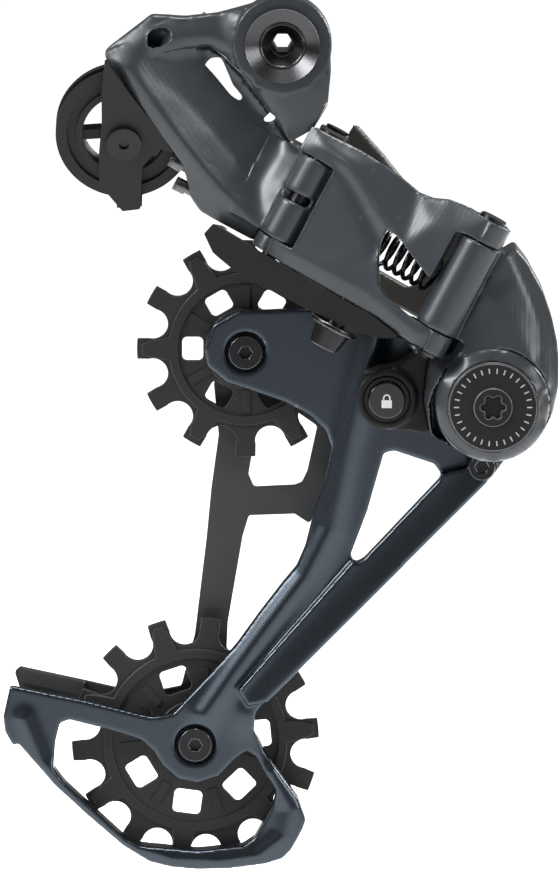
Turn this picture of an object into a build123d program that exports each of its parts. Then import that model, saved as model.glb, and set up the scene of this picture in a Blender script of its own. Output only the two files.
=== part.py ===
"""A rear derailleur with a slant parallelogram, a roller clutch and a two-pulley cage.

+X points forwards, +Y inboard (towards the wheel) and +Z up. The origin is on the hanger bolt's
axis, at the face that rests against the frame's hanger. All lengths are in millimetres.
"""
from build123d import *
import math
import os

os.makedirs("parts", exist_ok=True)

# ---------------------------------------------------------------- driving dimensions
CHAIN_PITCH = 12.7
UPPER_TEETH = 12
LOWER_TEETH = 14
PULLEY_DEPTH = 12.5
UPPER_CENTRE = (-9.4, -79.8)
LOWER_CENTRE = (-22.3, -180.8)
CAGE_PIVOT = (52.95, -89.8)

PIN_TILT = 28.0
LINK_LENGTH = 47.0
LINK_ANGLE = -18.0
LINK_GAP = (1.5, 21.0)
OUTER_PIN_AT = (22.1, -13.0)
PIN_RADIUS = 2.5
RUNNING_CLEARANCE = 0.05
PRESS_CLEARANCE = 0.02

HANGER_THREAD_RADIUS = 5.0
HANGER_THREAD_LENGTH = 9.0
BOSS_RADIUS = 12.5
BOSS_FRONT = -14.0
PLATE_THICKNESS = 2.0

WHEEL_CENTRE = (-40.0, -2.0, -22.3)
WHEEL_TILT = 19.0
WHEEL_RADIUS = 17.4

CAGE_FRONT = 3.0
CAGE_BACK = 6.0
INNER_PLATE_FRONT = 18.6
INNER_PLATE_BACK = 21.0
BUTTON_CENTRE = (26.4, -90.0)

# ---------------------------------------------------------------- derived geometry
ALONG = Vector(math.cos(math.radians(PIN_TILT)), 0, -math.sin(math.radians(PIN_TILT)))
UP_PIN = Vector(math.sin(math.radians(PIN_TILT)), 0, math.cos(math.radians(PIN_TILT)))
INBOARD = Vector(0, 1, 0)
LINK_DIR = ALONG * math.cos(math.radians(LINK_ANGLE)) + INBOARD * math.sin(math.radians(LINK_ANGLE))
LINK_OUT = LINK_DIR.cross(UP_PIN)
LINK_STEP = (LINK_LENGTH * math.cos(math.radians(LINK_ANGLE)),
             LINK_LENGTH * math.sin(math.radians(LINK_ANGLE)))

B_OUTER = OUTER_PIN_AT
B_INNER = (B_OUTER[0] + LINK_GAP[0], B_OUTER[1] + LINK_GAP[1])
P_OUTER = (B_OUTER[0] + LINK_STEP[0], B_OUTER[1] + LINK_STEP[1])
P_INNER = (B_INNER[0] + LINK_STEP[0], B_INNER[1] + LINK_STEP[1])
BORE_RADIUS = PIN_RADIUS + RUNNING_CLEARANCE
EAR_BORE_RADIUS = PIN_RADIUS + PRESS_CLEARANCE
WHEEL_AXIS = Vector(0, -math.cos(math.radians(WHEEL_TILT)), -math.sin(math.radians(WHEEL_TILT)))


def pitch_radius(teeth):
    """Radius of the circle through a pulley's roller centres."""
    return CHAIN_PITCH / (2 * math.sin(math.pi / teeth))


def side(y):
    """Plane at depth y, drawn in X and Z, whose normal points outboard."""
    return Plane(origin=(0, y, 0), x_dir=(1, 0, 0), z_dir=(0, -1, 0))


def tilted(y):
    """Plane at depth y, drawn along the linkage and up its pins, normal outboard."""
    return Plane(origin=(0, y, 0), x_dir=ALONG, z_dir=(0, -1, 0))


def on_pin(pin, height):
    """Point at a height along one of the four linkage pins."""
    return ALONG * pin[0] + INBOARD * pin[1] + UP_PIN * height


def pin_plane(pin, height):
    """Plane square to a linkage pin at a height along it."""
    return Plane(origin=on_pin(pin, height), x_dir=ALONG, z_dir=UP_PIN)


def link_plane(pin, offset):
    """Plane along a link through its pin, moved outboard by an offset."""
    return Plane(origin=on_pin(pin, 0) + LINK_OUT * offset, x_dir=LINK_DIR, z_dir=LINK_OUT)


def wheel_plane(offset):
    """Plane across the cable wheel's axis, moved along it by an offset."""
    return Plane(origin=Vector(*WHEEL_CENTRE) + WHEEL_AXIS * offset, x_dir=(1, 0, 0), z_dir=WHEEL_AXIS)


def outline_slab(points, plane, thickness, corner=0.0, mode=Mode.ADD):
    """Extrude a closed outline, with its corners rounded, by a thickness along the plane's normal."""
    with BuildSketch(plane) as face:
        with BuildLine():
            Polyline(*points, close=True)
        make_face()
        if corner > 0:
            fillet(face.vertices(), corner)
    extrude(face.sketch, amount=thickness, mode=mode)


def disc(plane, radius, thickness, inner=0.0, mode=Mode.ADD):
    """Extrude a disc or a ring about a plane's origin."""
    with BuildSketch(plane) as face:
        Circle(radius)
        if inner > 0:
            Circle(inner, mode=Mode.SUBTRACT)
    extrude(face.sketch, amount=thickness, mode=mode)


def turned(centre, outline, mode=Mode.ADD):
    """Revolve an outline of (radius, depth) points about the line along Y through (x, z)."""
    middle = (centre[0], 0, centre[1])
    with BuildSketch(Plane(origin=middle, x_dir=(1, 0, 0), z_dir=(0, 0, 1))) as face:
        with BuildLine():
            Polyline(*outline, close=True)
        make_face()
    revolve(face.sketch, axis=Axis(middle, (0, 1, 0)), mode=mode)


def at(centre, y):
    """Plane facing outboard, centred on (x, z) at depth y."""
    return Plane(origin=(centre[0], y, centre[1]), x_dir=(1, 0, 0), z_dir=(0, -1, 0))


# ---------------------------------------------------------------- hanger bolt and its washer
with BuildPart() as hanger_bolt:
    turned((0, 0), [(3.0, HANGER_THREAD_LENGTH), (3.0, -12.6), (5.3, -15.2), (5.6, -14.6), (9.4, -17.0),
                    (9.4, -14.1), (6.0, -14.1), (6.0, -3.3), (5.4, -3.3), (5.4, -2.1), (6.0, -2.1),
                    (6.0, -0.1), (HANGER_THREAD_RADIUS, 0.0),
                    (HANGER_THREAD_RADIUS, HANGER_THREAD_LENGTH)])
    with BuildSketch(side(HANGER_THREAD_LENGTH)):
        Circle(3.2)
        RegularPolygon(2.6, 6, mode=Mode.SUBTRACT)
    extrude(amount=HANGER_THREAD_LENGTH + 6)
hanger_bolt.part.label = "hanger_bolt"
export_step(hanger_bolt.part, "parts/hanger_bolt.step")

with BuildPart() as bolt_circlip:
    disc(side(-2.2), 7.4, 1.0, inner=5.45)
    outline_slab([(-2.2, 0), (2.2, 0), (2.2, 9), (-2.2, 9)], side(-2.2), 1.0, mode=Mode.SUBTRACT)
bolt_circlip.part.label = "bolt_circlip"
export_step(bolt_circlip.part, "parts/bolt_circlip.step")

with BuildPart() as hanger_bush:
    disc(side(-4.0), 7.2, 9.4, inner=6.0 + RUNNING_CLEARANCE)
hanger_bush.part.label = "hanger_bush"
export_step(hanger_bush.part, "parts/hanger_bush.step")

SCREW_DIR = Vector(0.735, 0, -0.678)
B_SCREW_TIP = Vector(-7.8, -1.0, -6.8)

with BuildPart() as b_plate:
    disc(side(0), 11.4, PLATE_THICKNESS, inner=6.3)
    outline_slab([(-6.2, -5.4), (-10.9, -11.4), (-8.5, -13.5), (-3.9, -8.1)], side(0), PLATE_THICKNESS)
    # notch that the adjusting screw's tip bears in
    outline_slab([(-6.2, -5.3), (-9.2, -8.5), (-15.2, -3.0), (-12.2, 0.2)], side(0), PLATE_THICKNESS,
                 mode=Mode.SUBTRACT)
b_plate.part.label = "b_plate"
export_step(b_plate.part, "parts/b_plate.step")

# ---------------------------------------------------------------- upper knuckle
BARREL_TOP = -21.4
BARREL_FOOT = -43.8
INNER_BARREL_TOP = -21.2
INNER_BARREL_FOOT = -42.0
KNUCKLE_FOOT = -47.4
EAR_CLEARANCE_RADIUS = 5.7
PORT_POINT = Vector(-30.1, -12.5, 2.9)
PORT_AXIS = Vector(-0.69, 0.45, -0.55).normalized()

SHELL_DEPTH = 12.0
RIDGE_TOP = Vector(-39.0, -15.0, -5.4)
RIDGE_FOOT = Vector(-4.3, -12.5, -47.2)
PANEL_FOOT = Vector(-10.2, -5.6, -9.0)
REAR_EDGE = Vector(-24.3, -10.0, -33.6)
PANEL_SLOPE = (RIDGE_FOOT - RIDGE_TOP).cross(PANEL_FOOT - RIDGE_TOP)
REAR_SLOPE = (REAR_EDGE - RIDGE_TOP).cross(RIDGE_FOOT - RIDGE_TOP)
LIMIT_TRAVEL = 3.0
LIMIT_SCREWS = ((-39.3, -11.2), (-44.0, -7.4))


def limit_plane(height, start):
    """Plane square to a limit screw, at a place along it."""
    return Plane(origin=on_pin((start, -7.0), height), x_dir=(0, 1, 0), z_dir=ALONG)


with BuildPart() as b_knuckle:
    # shell behind the wheel, down to the pin barrels
    outline_slab([(-44.2, -1.3), (-45.0, -2.6), (-39.5, -10.9), (-34.5, -17.5), (-29.5, -24.6),
                  (-25.5, -30.1), (-24.3, -33.6), (-23.5, -38.7), (-20.5, -43.0), (-16.2, -45.2),
                  (-8.4, -49.2), (-4.0, -51.0), (2.5, -38), (4.2, -27.1), (2.0, -24.6), (8.0, -21.2),
                  (11.4, -15.8), (12.3, -6.4), (11, 0), (-12, 6), (-30, 4)],
                 side(-4.0), SHELL_DEPTH, corner=0.8)
    # sloping panel between the rear ridge and the hanger lug, and the slope behind the ridge
    disc(Plane(origin=RIDGE_TOP, z_dir=PANEL_SLOPE), 90, 40, mode=Mode.SUBTRACT)
    disc(Plane(origin=RIDGE_TOP, z_dir=REAR_SLOPE), 90, 40, mode=Mode.SUBTRACT)
    disc(side(-PLATE_THICKNESS), BOSS_RADIUS, -BOSS_FRONT - PLATE_THICKNESS)
    # lug that carries the hanger boss
    outline_slab([(-12.0, 4.0), (-9.5, -8.4), (-4.5, -15.5), (-0.5, -20.5), (2.0, -24.6), (8.0, -21.2),
                  (11.4, -15.8), (12.3, -6.4), (12.0, 2.0)], side(-4.0), 9.6, corner=0.8)
    # two windows through the shell
    outline_slab([(-19.7, -5.5), (-18.0, -3.8), (-15.5, -3.7), (-12.5, -10.7), (-10.0, -13.7),
                  (-10.4, -15.1), (-13.0, -13.4), (-17.0, -8.4)], side(8), 30, corner=0.5, mode=Mode.SUBTRACT)
    outline_slab([(-2.6, -17.3), (-1.5, -18.5), (-2.2, -19.9), (-6.0, -20.4)], side(8), 30,
                 corner=0.4, mode=Mode.SUBTRACT)
    # top arm that reaches back to the cable wheel
    outline_slab([(0, 12.2), (-9.5, 9.5), (-16.5, 7.6), (-24.5, 6.8), (-33.0, 7.3), (-44.2, -1.3),
                  (-43.2, -5.0), (-27.5, -1.4), (-18.5, -0.3), (-14.5, -3.4), (-9.5, -8.4), (0, -8)],
                 side(-3.5), 9.5, corner=1.0)
    # block that joins the two pin barrels
    outline_slab([(8.0, BARREL_FOOT), (23.0, BARREL_FOOT), (23.0, BARREL_TOP), (8.0, BARREL_TOP)],
                 tilted(-6.0), 7.0)
    outline_slab([(4.0, KNUCKLE_FOOT), (16.0, KNUCKLE_FOOT), (16.0, BARREL_TOP), (4.0, BARREL_TOP)],
                 tilted(3.0), 14.0)
    outline_slab([(12.0, INNER_BARREL_FOOT), (23.6, INNER_BARREL_FOOT), (23.6, INNER_BARREL_TOP),
                  (12.0, INNER_BARREL_TOP)], tilted(8.5), 12.0)
    disc(pin_plane(B_OUTER, BARREL_FOOT), 5.3, BARREL_TOP - BARREL_FOOT)
    disc(pin_plane(B_INNER, INNER_BARREL_FOOT), 4.4, INNER_BARREL_TOP - INNER_BARREL_FOOT)
    # room for the links' ears above and below the barrels
    disc(pin_plane(B_OUTER, BARREL_TOP), EAR_CLEARANCE_RADIUS, 14, mode=Mode.SUBTRACT)
    disc(pin_plane(B_OUTER, BARREL_FOOT - 14), EAR_CLEARANCE_RADIUS, 14, mode=Mode.SUBTRACT)
    disc(pin_plane(B_INNER, INNER_BARREL_TOP), EAR_CLEARANCE_RADIUS, 22, mode=Mode.SUBTRACT)
    disc(pin_plane(B_INNER, INNER_BARREL_FOOT - 14), EAR_CLEARANCE_RADIUS, 14, mode=Mode.SUBTRACT)
    outline_slab([(-12, -60), (40, -60), (40, KNUCKLE_FOOT), (-12, KNUCKLE_FOOT)], tilted(20), 50,
                 mode=Mode.SUBTRACT)
    # lug for the adjusting screw, on the inboard face of the arm
    with BuildSketch(Plane(origin=B_SCREW_TIP - SCREW_DIR * 14.4, x_dir=(0, 1, 0), z_dir=SCREW_DIR)):
        with Locations((-0.4, 0)):
            RectangleRounded(6.6, 6.4, 1.2)
    extrude(amount=5.5)
    # bores
    disc(pin_plane(B_OUTER, -60), BORE_RADIUS, 50, mode=Mode.SUBTRACT)
    disc(pin_plane(B_INNER, -60), BORE_RADIUS, 50, mode=Mode.SUBTRACT)
    disc(side(0), 7.2 + PRESS_CLEARANCE, 13.4, mode=Mode.SUBTRACT)
    disc(side(0), 7.9, 3.8, mode=Mode.SUBTRACT)
    disc(side(0), 6.5, 20, mode=Mode.SUBTRACT)
    disc(Plane(origin=B_SCREW_TIP - SCREW_DIR * 20, z_dir=SCREW_DIR), 1.55, 22, mode=Mode.SUBTRACT)
    disc(Plane(origin=B_SCREW_TIP - SCREW_DIR * 24, z_dir=SCREW_DIR), 2.6, 8.4, mode=Mode.SUBTRACT)
    # slot that shows the pin
    outline_slab([(-1.8, -37.1), (6.5, -41.1), (7.5, -38.9), (-0.8, -34.9)], side(-14.0), 10, corner=1.1,
                 mode=Mode.SUBTRACT)
    # housing port: a socket that opens towards the rear, and a smaller hole for the wire
    disc(Plane(origin=PORT_POINT - PORT_AXIS * 11, z_dir=PORT_AXIS), 2.55, 19, mode=Mode.SUBTRACT)
    disc(Plane(origin=PORT_POINT - PORT_AXIS * 11, z_dir=PORT_AXIS), 0.9, 30, mode=Mode.SUBTRACT)
    # limit screw holes, with room for the heads
    for height, head_at in LIMIT_SCREWS:
        disc(limit_plane(height, head_at), 1.3, 20, mode=Mode.SUBTRACT)
        disc(limit_plane(height, head_at - 4), 2.2, 7.5, mode=Mode.SUBTRACT)
    # room for the cable wheel
    disc(wheel_plane(-4.4), WHEEL_RADIUS + 1.2, 9.2, mode=Mode.SUBTRACT)
b_knuckle.part.label = "b_knuckle"
export_step(b_knuckle.part, "parts/b_knuckle.step")

with BuildPart() as b_adjust_screw:
    disc(Plane(origin=B_SCREW_TIP - SCREW_DIR * 16, z_dir=SCREW_DIR), 1.5, 16)
    disc(Plane(origin=B_SCREW_TIP - SCREW_DIR * 18.5, z_dir=SCREW_DIR), 2.4, 2.6)
    with BuildSketch(Plane(origin=B_SCREW_TIP - SCREW_DIR * 18.5, z_dir=SCREW_DIR)):
        RegularPolygon(1.25, 6)
    extrude(amount=1.6, mode=Mode.SUBTRACT)
b_adjust_screw.part.label = "b_adjust_screw"
export_step(b_adjust_screw.part, "parts/b_adjust_screw.step")


def limit_screw(height, head_at):
    """A small screw along the linkage with a knurled head at its rear end."""
    base = limit_plane(height, head_at)
    disc(base, 1.8, 3.2)
    disc(base.offset(3.2), 1.25, 13)
    with BuildSketch(base) as knurl:
        with PolarLocations(1.85, 16):
            Circle(0.18)
        Rectangle(3.0, 0.6)
    extrude(knurl.sketch, amount=1.0, mode=Mode.SUBTRACT)


with BuildPart() as high_limit_screw:
    limit_screw(*LIMIT_SCREWS[0])
high_limit_screw.part.label = "high_limit_screw"
export_step(high_limit_screw.part, "parts/high_limit_screw.step")

with BuildPart() as low_limit_screw:
    limit_screw(*LIMIT_SCREWS[1])
low_limit_screw.part.label = "low_limit_screw"
export_step(low_limit_screw.part, "parts/low_limit_screw.step")

# ---------------------------------------------------------------- cable wheel and its bracket
with BuildPart() as cable_wheel:
    disc(wheel_plane(-3.0), WHEEL_RADIUS, 6.0, inner=10.6)
    disc(wheel_plane(-1.1), WHEEL_RADIUS + 1, 2.2, inner=15.2, mode=Mode.SUBTRACT)
    disc(wheel_plane(2.0), 14.6, 2.5, inner=12.2, mode=Mode.SUBTRACT)
    disc(wheel_plane(-2.4), 5.4, 4.8)
    with BuildSketch(wheel_plane(-1.8)):
        with PolarLocations(8.0, 5, start_angle=40):
            Rectangle(6.4, 2.6)
    extrude(amount=3.6)
    disc(wheel_plane(-5), 3.6 + PRESS_CLEARANCE, 10, mode=Mode.SUBTRACT)
cable_wheel.part.label = "cable_wheel"
export_step(cable_wheel.part, "parts/cable_wheel.step")

with BuildPart() as cable_wheel_bush:
    disc(wheel_plane(-3.2), 3.6, 6.4, inner=2.6 + RUNNING_CLEARANCE)
cable_wheel_bush.part.label = "cable_wheel_bush"
export_step(cable_wheel_bush.part, "parts/cable_wheel_bush.step")

with BuildPart() as cable_wheel_axle:
    disc(wheel_plane(-6.3), 2.6, 12.3)
    disc(wheel_plane(5.95), 2.6, 2.2)
    disc(wheel_plane(8.1), 4.35, 1.6)
    disc(wheel_plane(8.7), 1.3, 1.4, mode=Mode.SUBTRACT)
cable_wheel_axle.part.label = "cable_wheel_axle"
export_step(cable_wheel_axle.part, "parts/cable_wheel_axle.step")

BRACKET_OUTLINE = [(-4.6, 23.0), (-5.6, 13.1), (-5.6, 4.7), (-6.4, -3.9), (-6.3, -11.8), (-0.5, -19.2),
                   (4.0, -18.6), (4.5, -7.1), (7.0, -3.9), (12.5, -3.2), (10.5, 0.3), (5.5, 7.8), (0.5, 14.8)]
with BuildPart() as cable_bracket:
    outline_slab(BRACKET_OUTLINE, wheel_plane(5.4), 2.6, corner=0.6)
    # return that passes under the wheel and carries the axle's far end
    with BuildSketch(wheel_plane(-5.6)):
        Circle(19.4)
        Circle(18.0, mode=Mode.SUBTRACT)
        with Locations((1.2, -16)):
            Rectangle(6.4, 12, mode=Mode.INTERSECT)
    extrude(amount=11.2)
    disc(wheel_plane(-5.6), 5.2, 2.0)
    outline_slab([(-5.0, 2.0), (5.0, 1.0), (4.3, -18.7), (-1.9, -19.0)], wheel_plane(-5.6), 2.0)
    disc(wheel_plane(-8), 2.6 + PRESS_CLEARANCE, 20, mode=Mode.SUBTRACT)
    # room for the limit screws to back out
    for height, head_at in LIMIT_SCREWS:
        disc(limit_plane(height, head_at - LIMIT_TRAVEL - 0.4), 2.3, 10, mode=Mode.SUBTRACT)
    add(b_knuckle.part, mode=Mode.SUBTRACT)
cable_bracket.part.label = "cable_bracket"
export_step(cable_bracket.part, "parts/cable_bracket.step")

# ---------------------------------------------------------------- outer link and what it carries
FACE_FRONT = 5.5
LINK_OUTLINE = [(-5.0, -14.4), (9.2, -13.7), (17.1, -14.3), (23.3, -15.1), (27.0, -16.2), (30.5, -15.6),
                (35.7, -13.4), (39.8, -12.9), (45.0, -13.2), (45.0, -18.8), (41.2, -19.6), (41.2, -33.2),
                (35.0, -30.8), (28.7, -27.9), (24.7, -27.8), (25.1, -32.2), (26.9, -36.2), (29.7, -40.8),
                (33.0, -42.7), (41.0, -44.2), (47.0, -44.2), (47.0, -49.8), (33.0, -48.4), (4.5, -48.5),
                (0.0, -47.9), (0.0, -44.1), (5.9, -43.9), (5.9, -21.1), (0.0, -20.9), (-5.0, -20.9)]
with BuildPart() as outer_link:
    outline_slab(LINK_OUTLINE, link_plane(B_OUTER, 2.4), FACE_FRONT - 2.4, corner=0.5)
    # top and bottom flanges that turn the face into a channel
    outline_slab([(6.0, -14.4), (17.1, -14.6), (27.0, -16.4), (39.8, -13.2), (41.0, -16.2), (27.0, -19.2),
                  (17.1, -17.4), (6.0, -17.0)], link_plane(B_OUTER, -4.0), 7.0)
    outline_slab([(6.0, -48.3), (33.0, -48.3), (41.0, -49.0), (41.0, -46.2), (6.0, -45.6)],
                 link_plane(B_OUTER, -4.0), 7.0)
    # ears round the pins
    disc(pin_plane(B_OUTER, -20.9), 5.3, 6.4)
    disc(pin_plane(B_OUTER, -47.9), 5.3, 3.9)
    disc(pin_plane(P_OUTER, -19.0), 5.3, 5.8)
    disc(pin_plane(P_OUTER, -49.8), 5.3, 5.6)
    outline_slab([(0.0, -20.9), (7.5, -20.9), (7.5, -14.5), (0.0, -14.5)], link_plane(B_OUTER, -4.0), 7.0)
    outline_slab([(0.0, -47.9), (7.5, -47.9), (7.5, -44.2), (0.0, -44.2)], link_plane(B_OUTER, -4.0), 7.0)
    outline_slab([(39.5, -19.0), (47.0, -19.0), (47.0, -13.3), (39.5, -13.3)], link_plane(B_OUTER, -4.0), 7.0)
    outline_slab([(39.5, -49.6), (47.0, -49.8), (47.0, -44.3), (39.5, -44.3)], link_plane(B_OUTER, -4.0), 7.0)
    disc(pin_plane(B_OUTER, -60), EAR_BORE_RADIUS, 60, mode=Mode.SUBTRACT)
    disc(pin_plane(P_OUTER, -60), EAR_BORE_RADIUS, 60, mode=Mode.SUBTRACT)
    disc(pin_plane(B_OUTER, -14.5), 3.8, 3, mode=Mode.SUBTRACT)
    disc(pin_plane(P_OUTER, -13.2), 3.8, 3, mode=Mode.SUBTRACT)
    # clear of both knuckles' barrels
    disc(pin_plane(B_OUTER, BARREL_FOOT - 0.15), 5.6, BARREL_TOP - BARREL_FOOT + 0.4, mode=Mode.SUBTRACT)
    disc(pin_plane(P_OUTER, -44.2), 5.8, 25.2, mode=Mode.SUBTRACT)
    # tapped hole for the cable anchor
    disc(Plane(origin=on_pin(B_OUTER, -52) + LINK_DIR * 23.6, z_dir=UP_PIN), 2.5 + PRESS_CLEARANCE, 5.5,
         mode=Mode.SUBTRACT)
outer_link.part.label = "outer_link"
export_step(outer_link.part, "parts/outer_link.step")

with BuildPart() as link_skid_plate:
    outline_slab([(-16.7, -51.6), (-15.8, -48.2), (5.0, -48.7), (33.0, -48.7), (41.0, -50.0),
                  (35.5, -53.0), (30.2, -54.1), (17.2, -55.3), (8.4, -55.5), (2.7, -56.0), (-5.8, -55.8),
                  (-10.1, -55.1), (-12.4, -54.6)], link_plane(B_OUTER, -3.4), 7.4, corner=0.4)
    outline_slab([(-14.0, -53.4), (35.5, -50.9), (30.2, -48.0), (-14, -48.0)], link_plane(B_OUTER, -3.5), 4.4,
                 mode=Mode.SUBTRACT)
    outline_slab([(17.0, -55.3), (30.0, -54.2), (30.0, -48.75), (17.0, -48.75)], link_plane(B_OUTER, -3.4), 7.0)
    disc(Plane(origin=on_pin(B_OUTER, -60) + LINK_DIR * 23.6, z_dir=UP_PIN), 2.7, 20, mode=Mode.SUBTRACT)
    disc(pin_plane(B_OUTER, -50.4), 3.7, 4, mode=Mode.SUBTRACT)
    disc(pin_plane(P_OUTER, -53), 5.0, 6, mode=Mode.SUBTRACT)
    add(outer_link.part, mode=Mode.SUBTRACT)
link_skid_plate.part.label = "link_skid_plate"
export_step(link_skid_plate.part, "parts/link_skid_plate.step")


def link_pin(pin, foot, top):
    """A plain linkage pin with a thin head on top and a groove for its clip at the foot."""
    disc(pin_plane(pin, foot - 1.8), PIN_RADIUS, top - foot + 1.8)
    disc(pin_plane(pin, top), PIN_RADIUS + 1.0, 0.9)
    disc(pin_plane(pin, foot - 1.0), PIN_RADIUS + 1, 0.8, inner=2.0, mode=Mode.SUBTRACT)


def pin_clip(pin, foot):
    """An E-clip in a linkage pin's groove."""
    plane = pin_plane(pin, foot - 0.95)
    disc(plane, 4.3, 0.7, inner=2.05)
    outline_slab([(0, -1.6), (6, -1.6), (6, 1.6), (0, 1.6)], plane, 0.7, mode=Mode.SUBTRACT)


with BuildPart() as outer_link_pins:
    link_pin(B_OUTER, -47.9, -14.5)
    link_pin(P_OUTER, -49.8, -13.2)
outer_link_pins.part.label = "outer_link_pins"
export_step(outer_link_pins.part, "parts/outer_link_pins.step")

with BuildPart() as outer_pin_clips:
    pin_clip(P_OUTER, -49.8)
outer_pin_clips.part.label = "outer_pin_clips"
export_step(outer_pin_clips.part, "parts/outer_pin_clips.step")

ANCHOR_TOP = -55.4
ANCHOR_AT = on_pin(B_OUTER, 0) + LINK_DIR * 23.6


def anchor_plane(height):
    """Plane square to the cable anchor's axis."""
    return Plane(origin=ANCHOR_AT + UP_PIN * height, x_dir=ALONG, z_dir=UP_PIN)


with BuildPart() as cable_anchor_washer:
    disc(anchor_plane(ANCHOR_TOP - 1.3), 6.3, 1.2, inner=2.7)
    outline_slab([(-7, -0.9), (-3, -0.9), (-3, 0.9), (-7, 0.9)], anchor_plane(ANCHOR_TOP - 0.8), 2,
                 mode=Mode.SUBTRACT)
cable_anchor_washer.part.label = "cable_anchor_washer"
export_step(cable_anchor_washer.part, "parts/cable_anchor_washer.step")

with BuildPart() as cable_anchor_bolt:
    with BuildSketch(anchor_plane(ANCHOR_TOP - 1.3)):
        Circle(4.9)
    with BuildSketch(anchor_plane(ANCHOR_TOP - 6.6)):
        Circle(3.7)
    loft()
    with BuildSketch(anchor_plane(ANCHOR_TOP - 6.6)):
        RegularPolygon(2.3, 6)
    extrude(amount=3.0, mode=Mode.SUBTRACT)
    disc(anchor_plane(ANCHOR_TOP - 1.4), 2.5, 9.0)
cable_anchor_bolt.part.label = "cable_anchor_bolt"
export_step(cable_anchor_bolt.part, "parts/cable_anchor_bolt.step")

SPRING_START = on_pin(B_OUTER, -33.0) + LINK_DIR * 19.0 - LINK_OUT * 3.4
SPRING_RADIUS = 4.1
SPRING_PITCH = 2.55
with BuildPart() as return_spring:
    with BuildLine() as coil:
        Helix(SPRING_PITCH, SPRING_PITCH * 8, SPRING_RADIUS, center=SPRING_START, direction=LINK_DIR)
    with BuildSketch(Plane(origin=coil.line @ 0, z_dir=coil.line % 0)):
        Circle(0.6)
    sweep(path=coil.line, is_frenet=True)
return_spring.part.label = "return_spring"
export_step(return_spring.part, "parts/return_spring.step")

# ---------------------------------------------------------------- inner link
with BuildPart() as inner_link:
    outline_slab([(0.0, -11.0), (3.1, -10.4), (13.2, -13.7), (23.9, -18.0), (31.1, -17.1), (37.7, -15.4),
                  (47.0, -15.6), (47.0, -20.9), (42.3, -21.1), (42.3, -42.1), (47.0, -42.3),
                  (47.0, -45.6), (0.0, -45.6), (0.0, -42.3), (4.9, -42.1), (4.9, -21.1), (0.0, -20.9)],
                 link_plane(B_INNER, -2.0), 4.0, corner=0.5)
    outline_slab([(10.0, -24.0), (24.0, -25.5), (37.0, -23.5), (37.0, -40.0), (10.0, -40.0)],
                 link_plane(B_INNER, -3), 6.0, corner=2.0, mode=Mode.SUBTRACT)
    for pin in (B_INNER, P_INNER):
        disc(pin_plane(pin, -20.9), 4.5, 6.4)
        disc(pin_plane(pin, -45.6), 4.5, 3.3)
        disc(pin_plane(pin, -60), EAR_BORE_RADIUS, 60, mode=Mode.SUBTRACT)
        disc(pin_plane(pin, -42.2), 4.7, 21.2, mode=Mode.SUBTRACT)
        disc(pin_plane(pin, -14.5), 3.6, 6, mode=Mode.SUBTRACT)
inner_link.part.label = "inner_link"
export_step(inner_link.part, "parts/inner_link.step")

with BuildPart() as inner_link_pins:
    for pin in (B_INNER, P_INNER):
        disc(pin_plane(pin, -45.6), PIN_RADIUS, 31.1)
        disc(pin_plane(pin, -14.5), PIN_RADIUS + 0.8, 0.8)
inner_link_pins.part.label = "inner_link_pins"
export_step(inner_link_pins.part, "parts/inner_link_pins.step")

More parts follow.
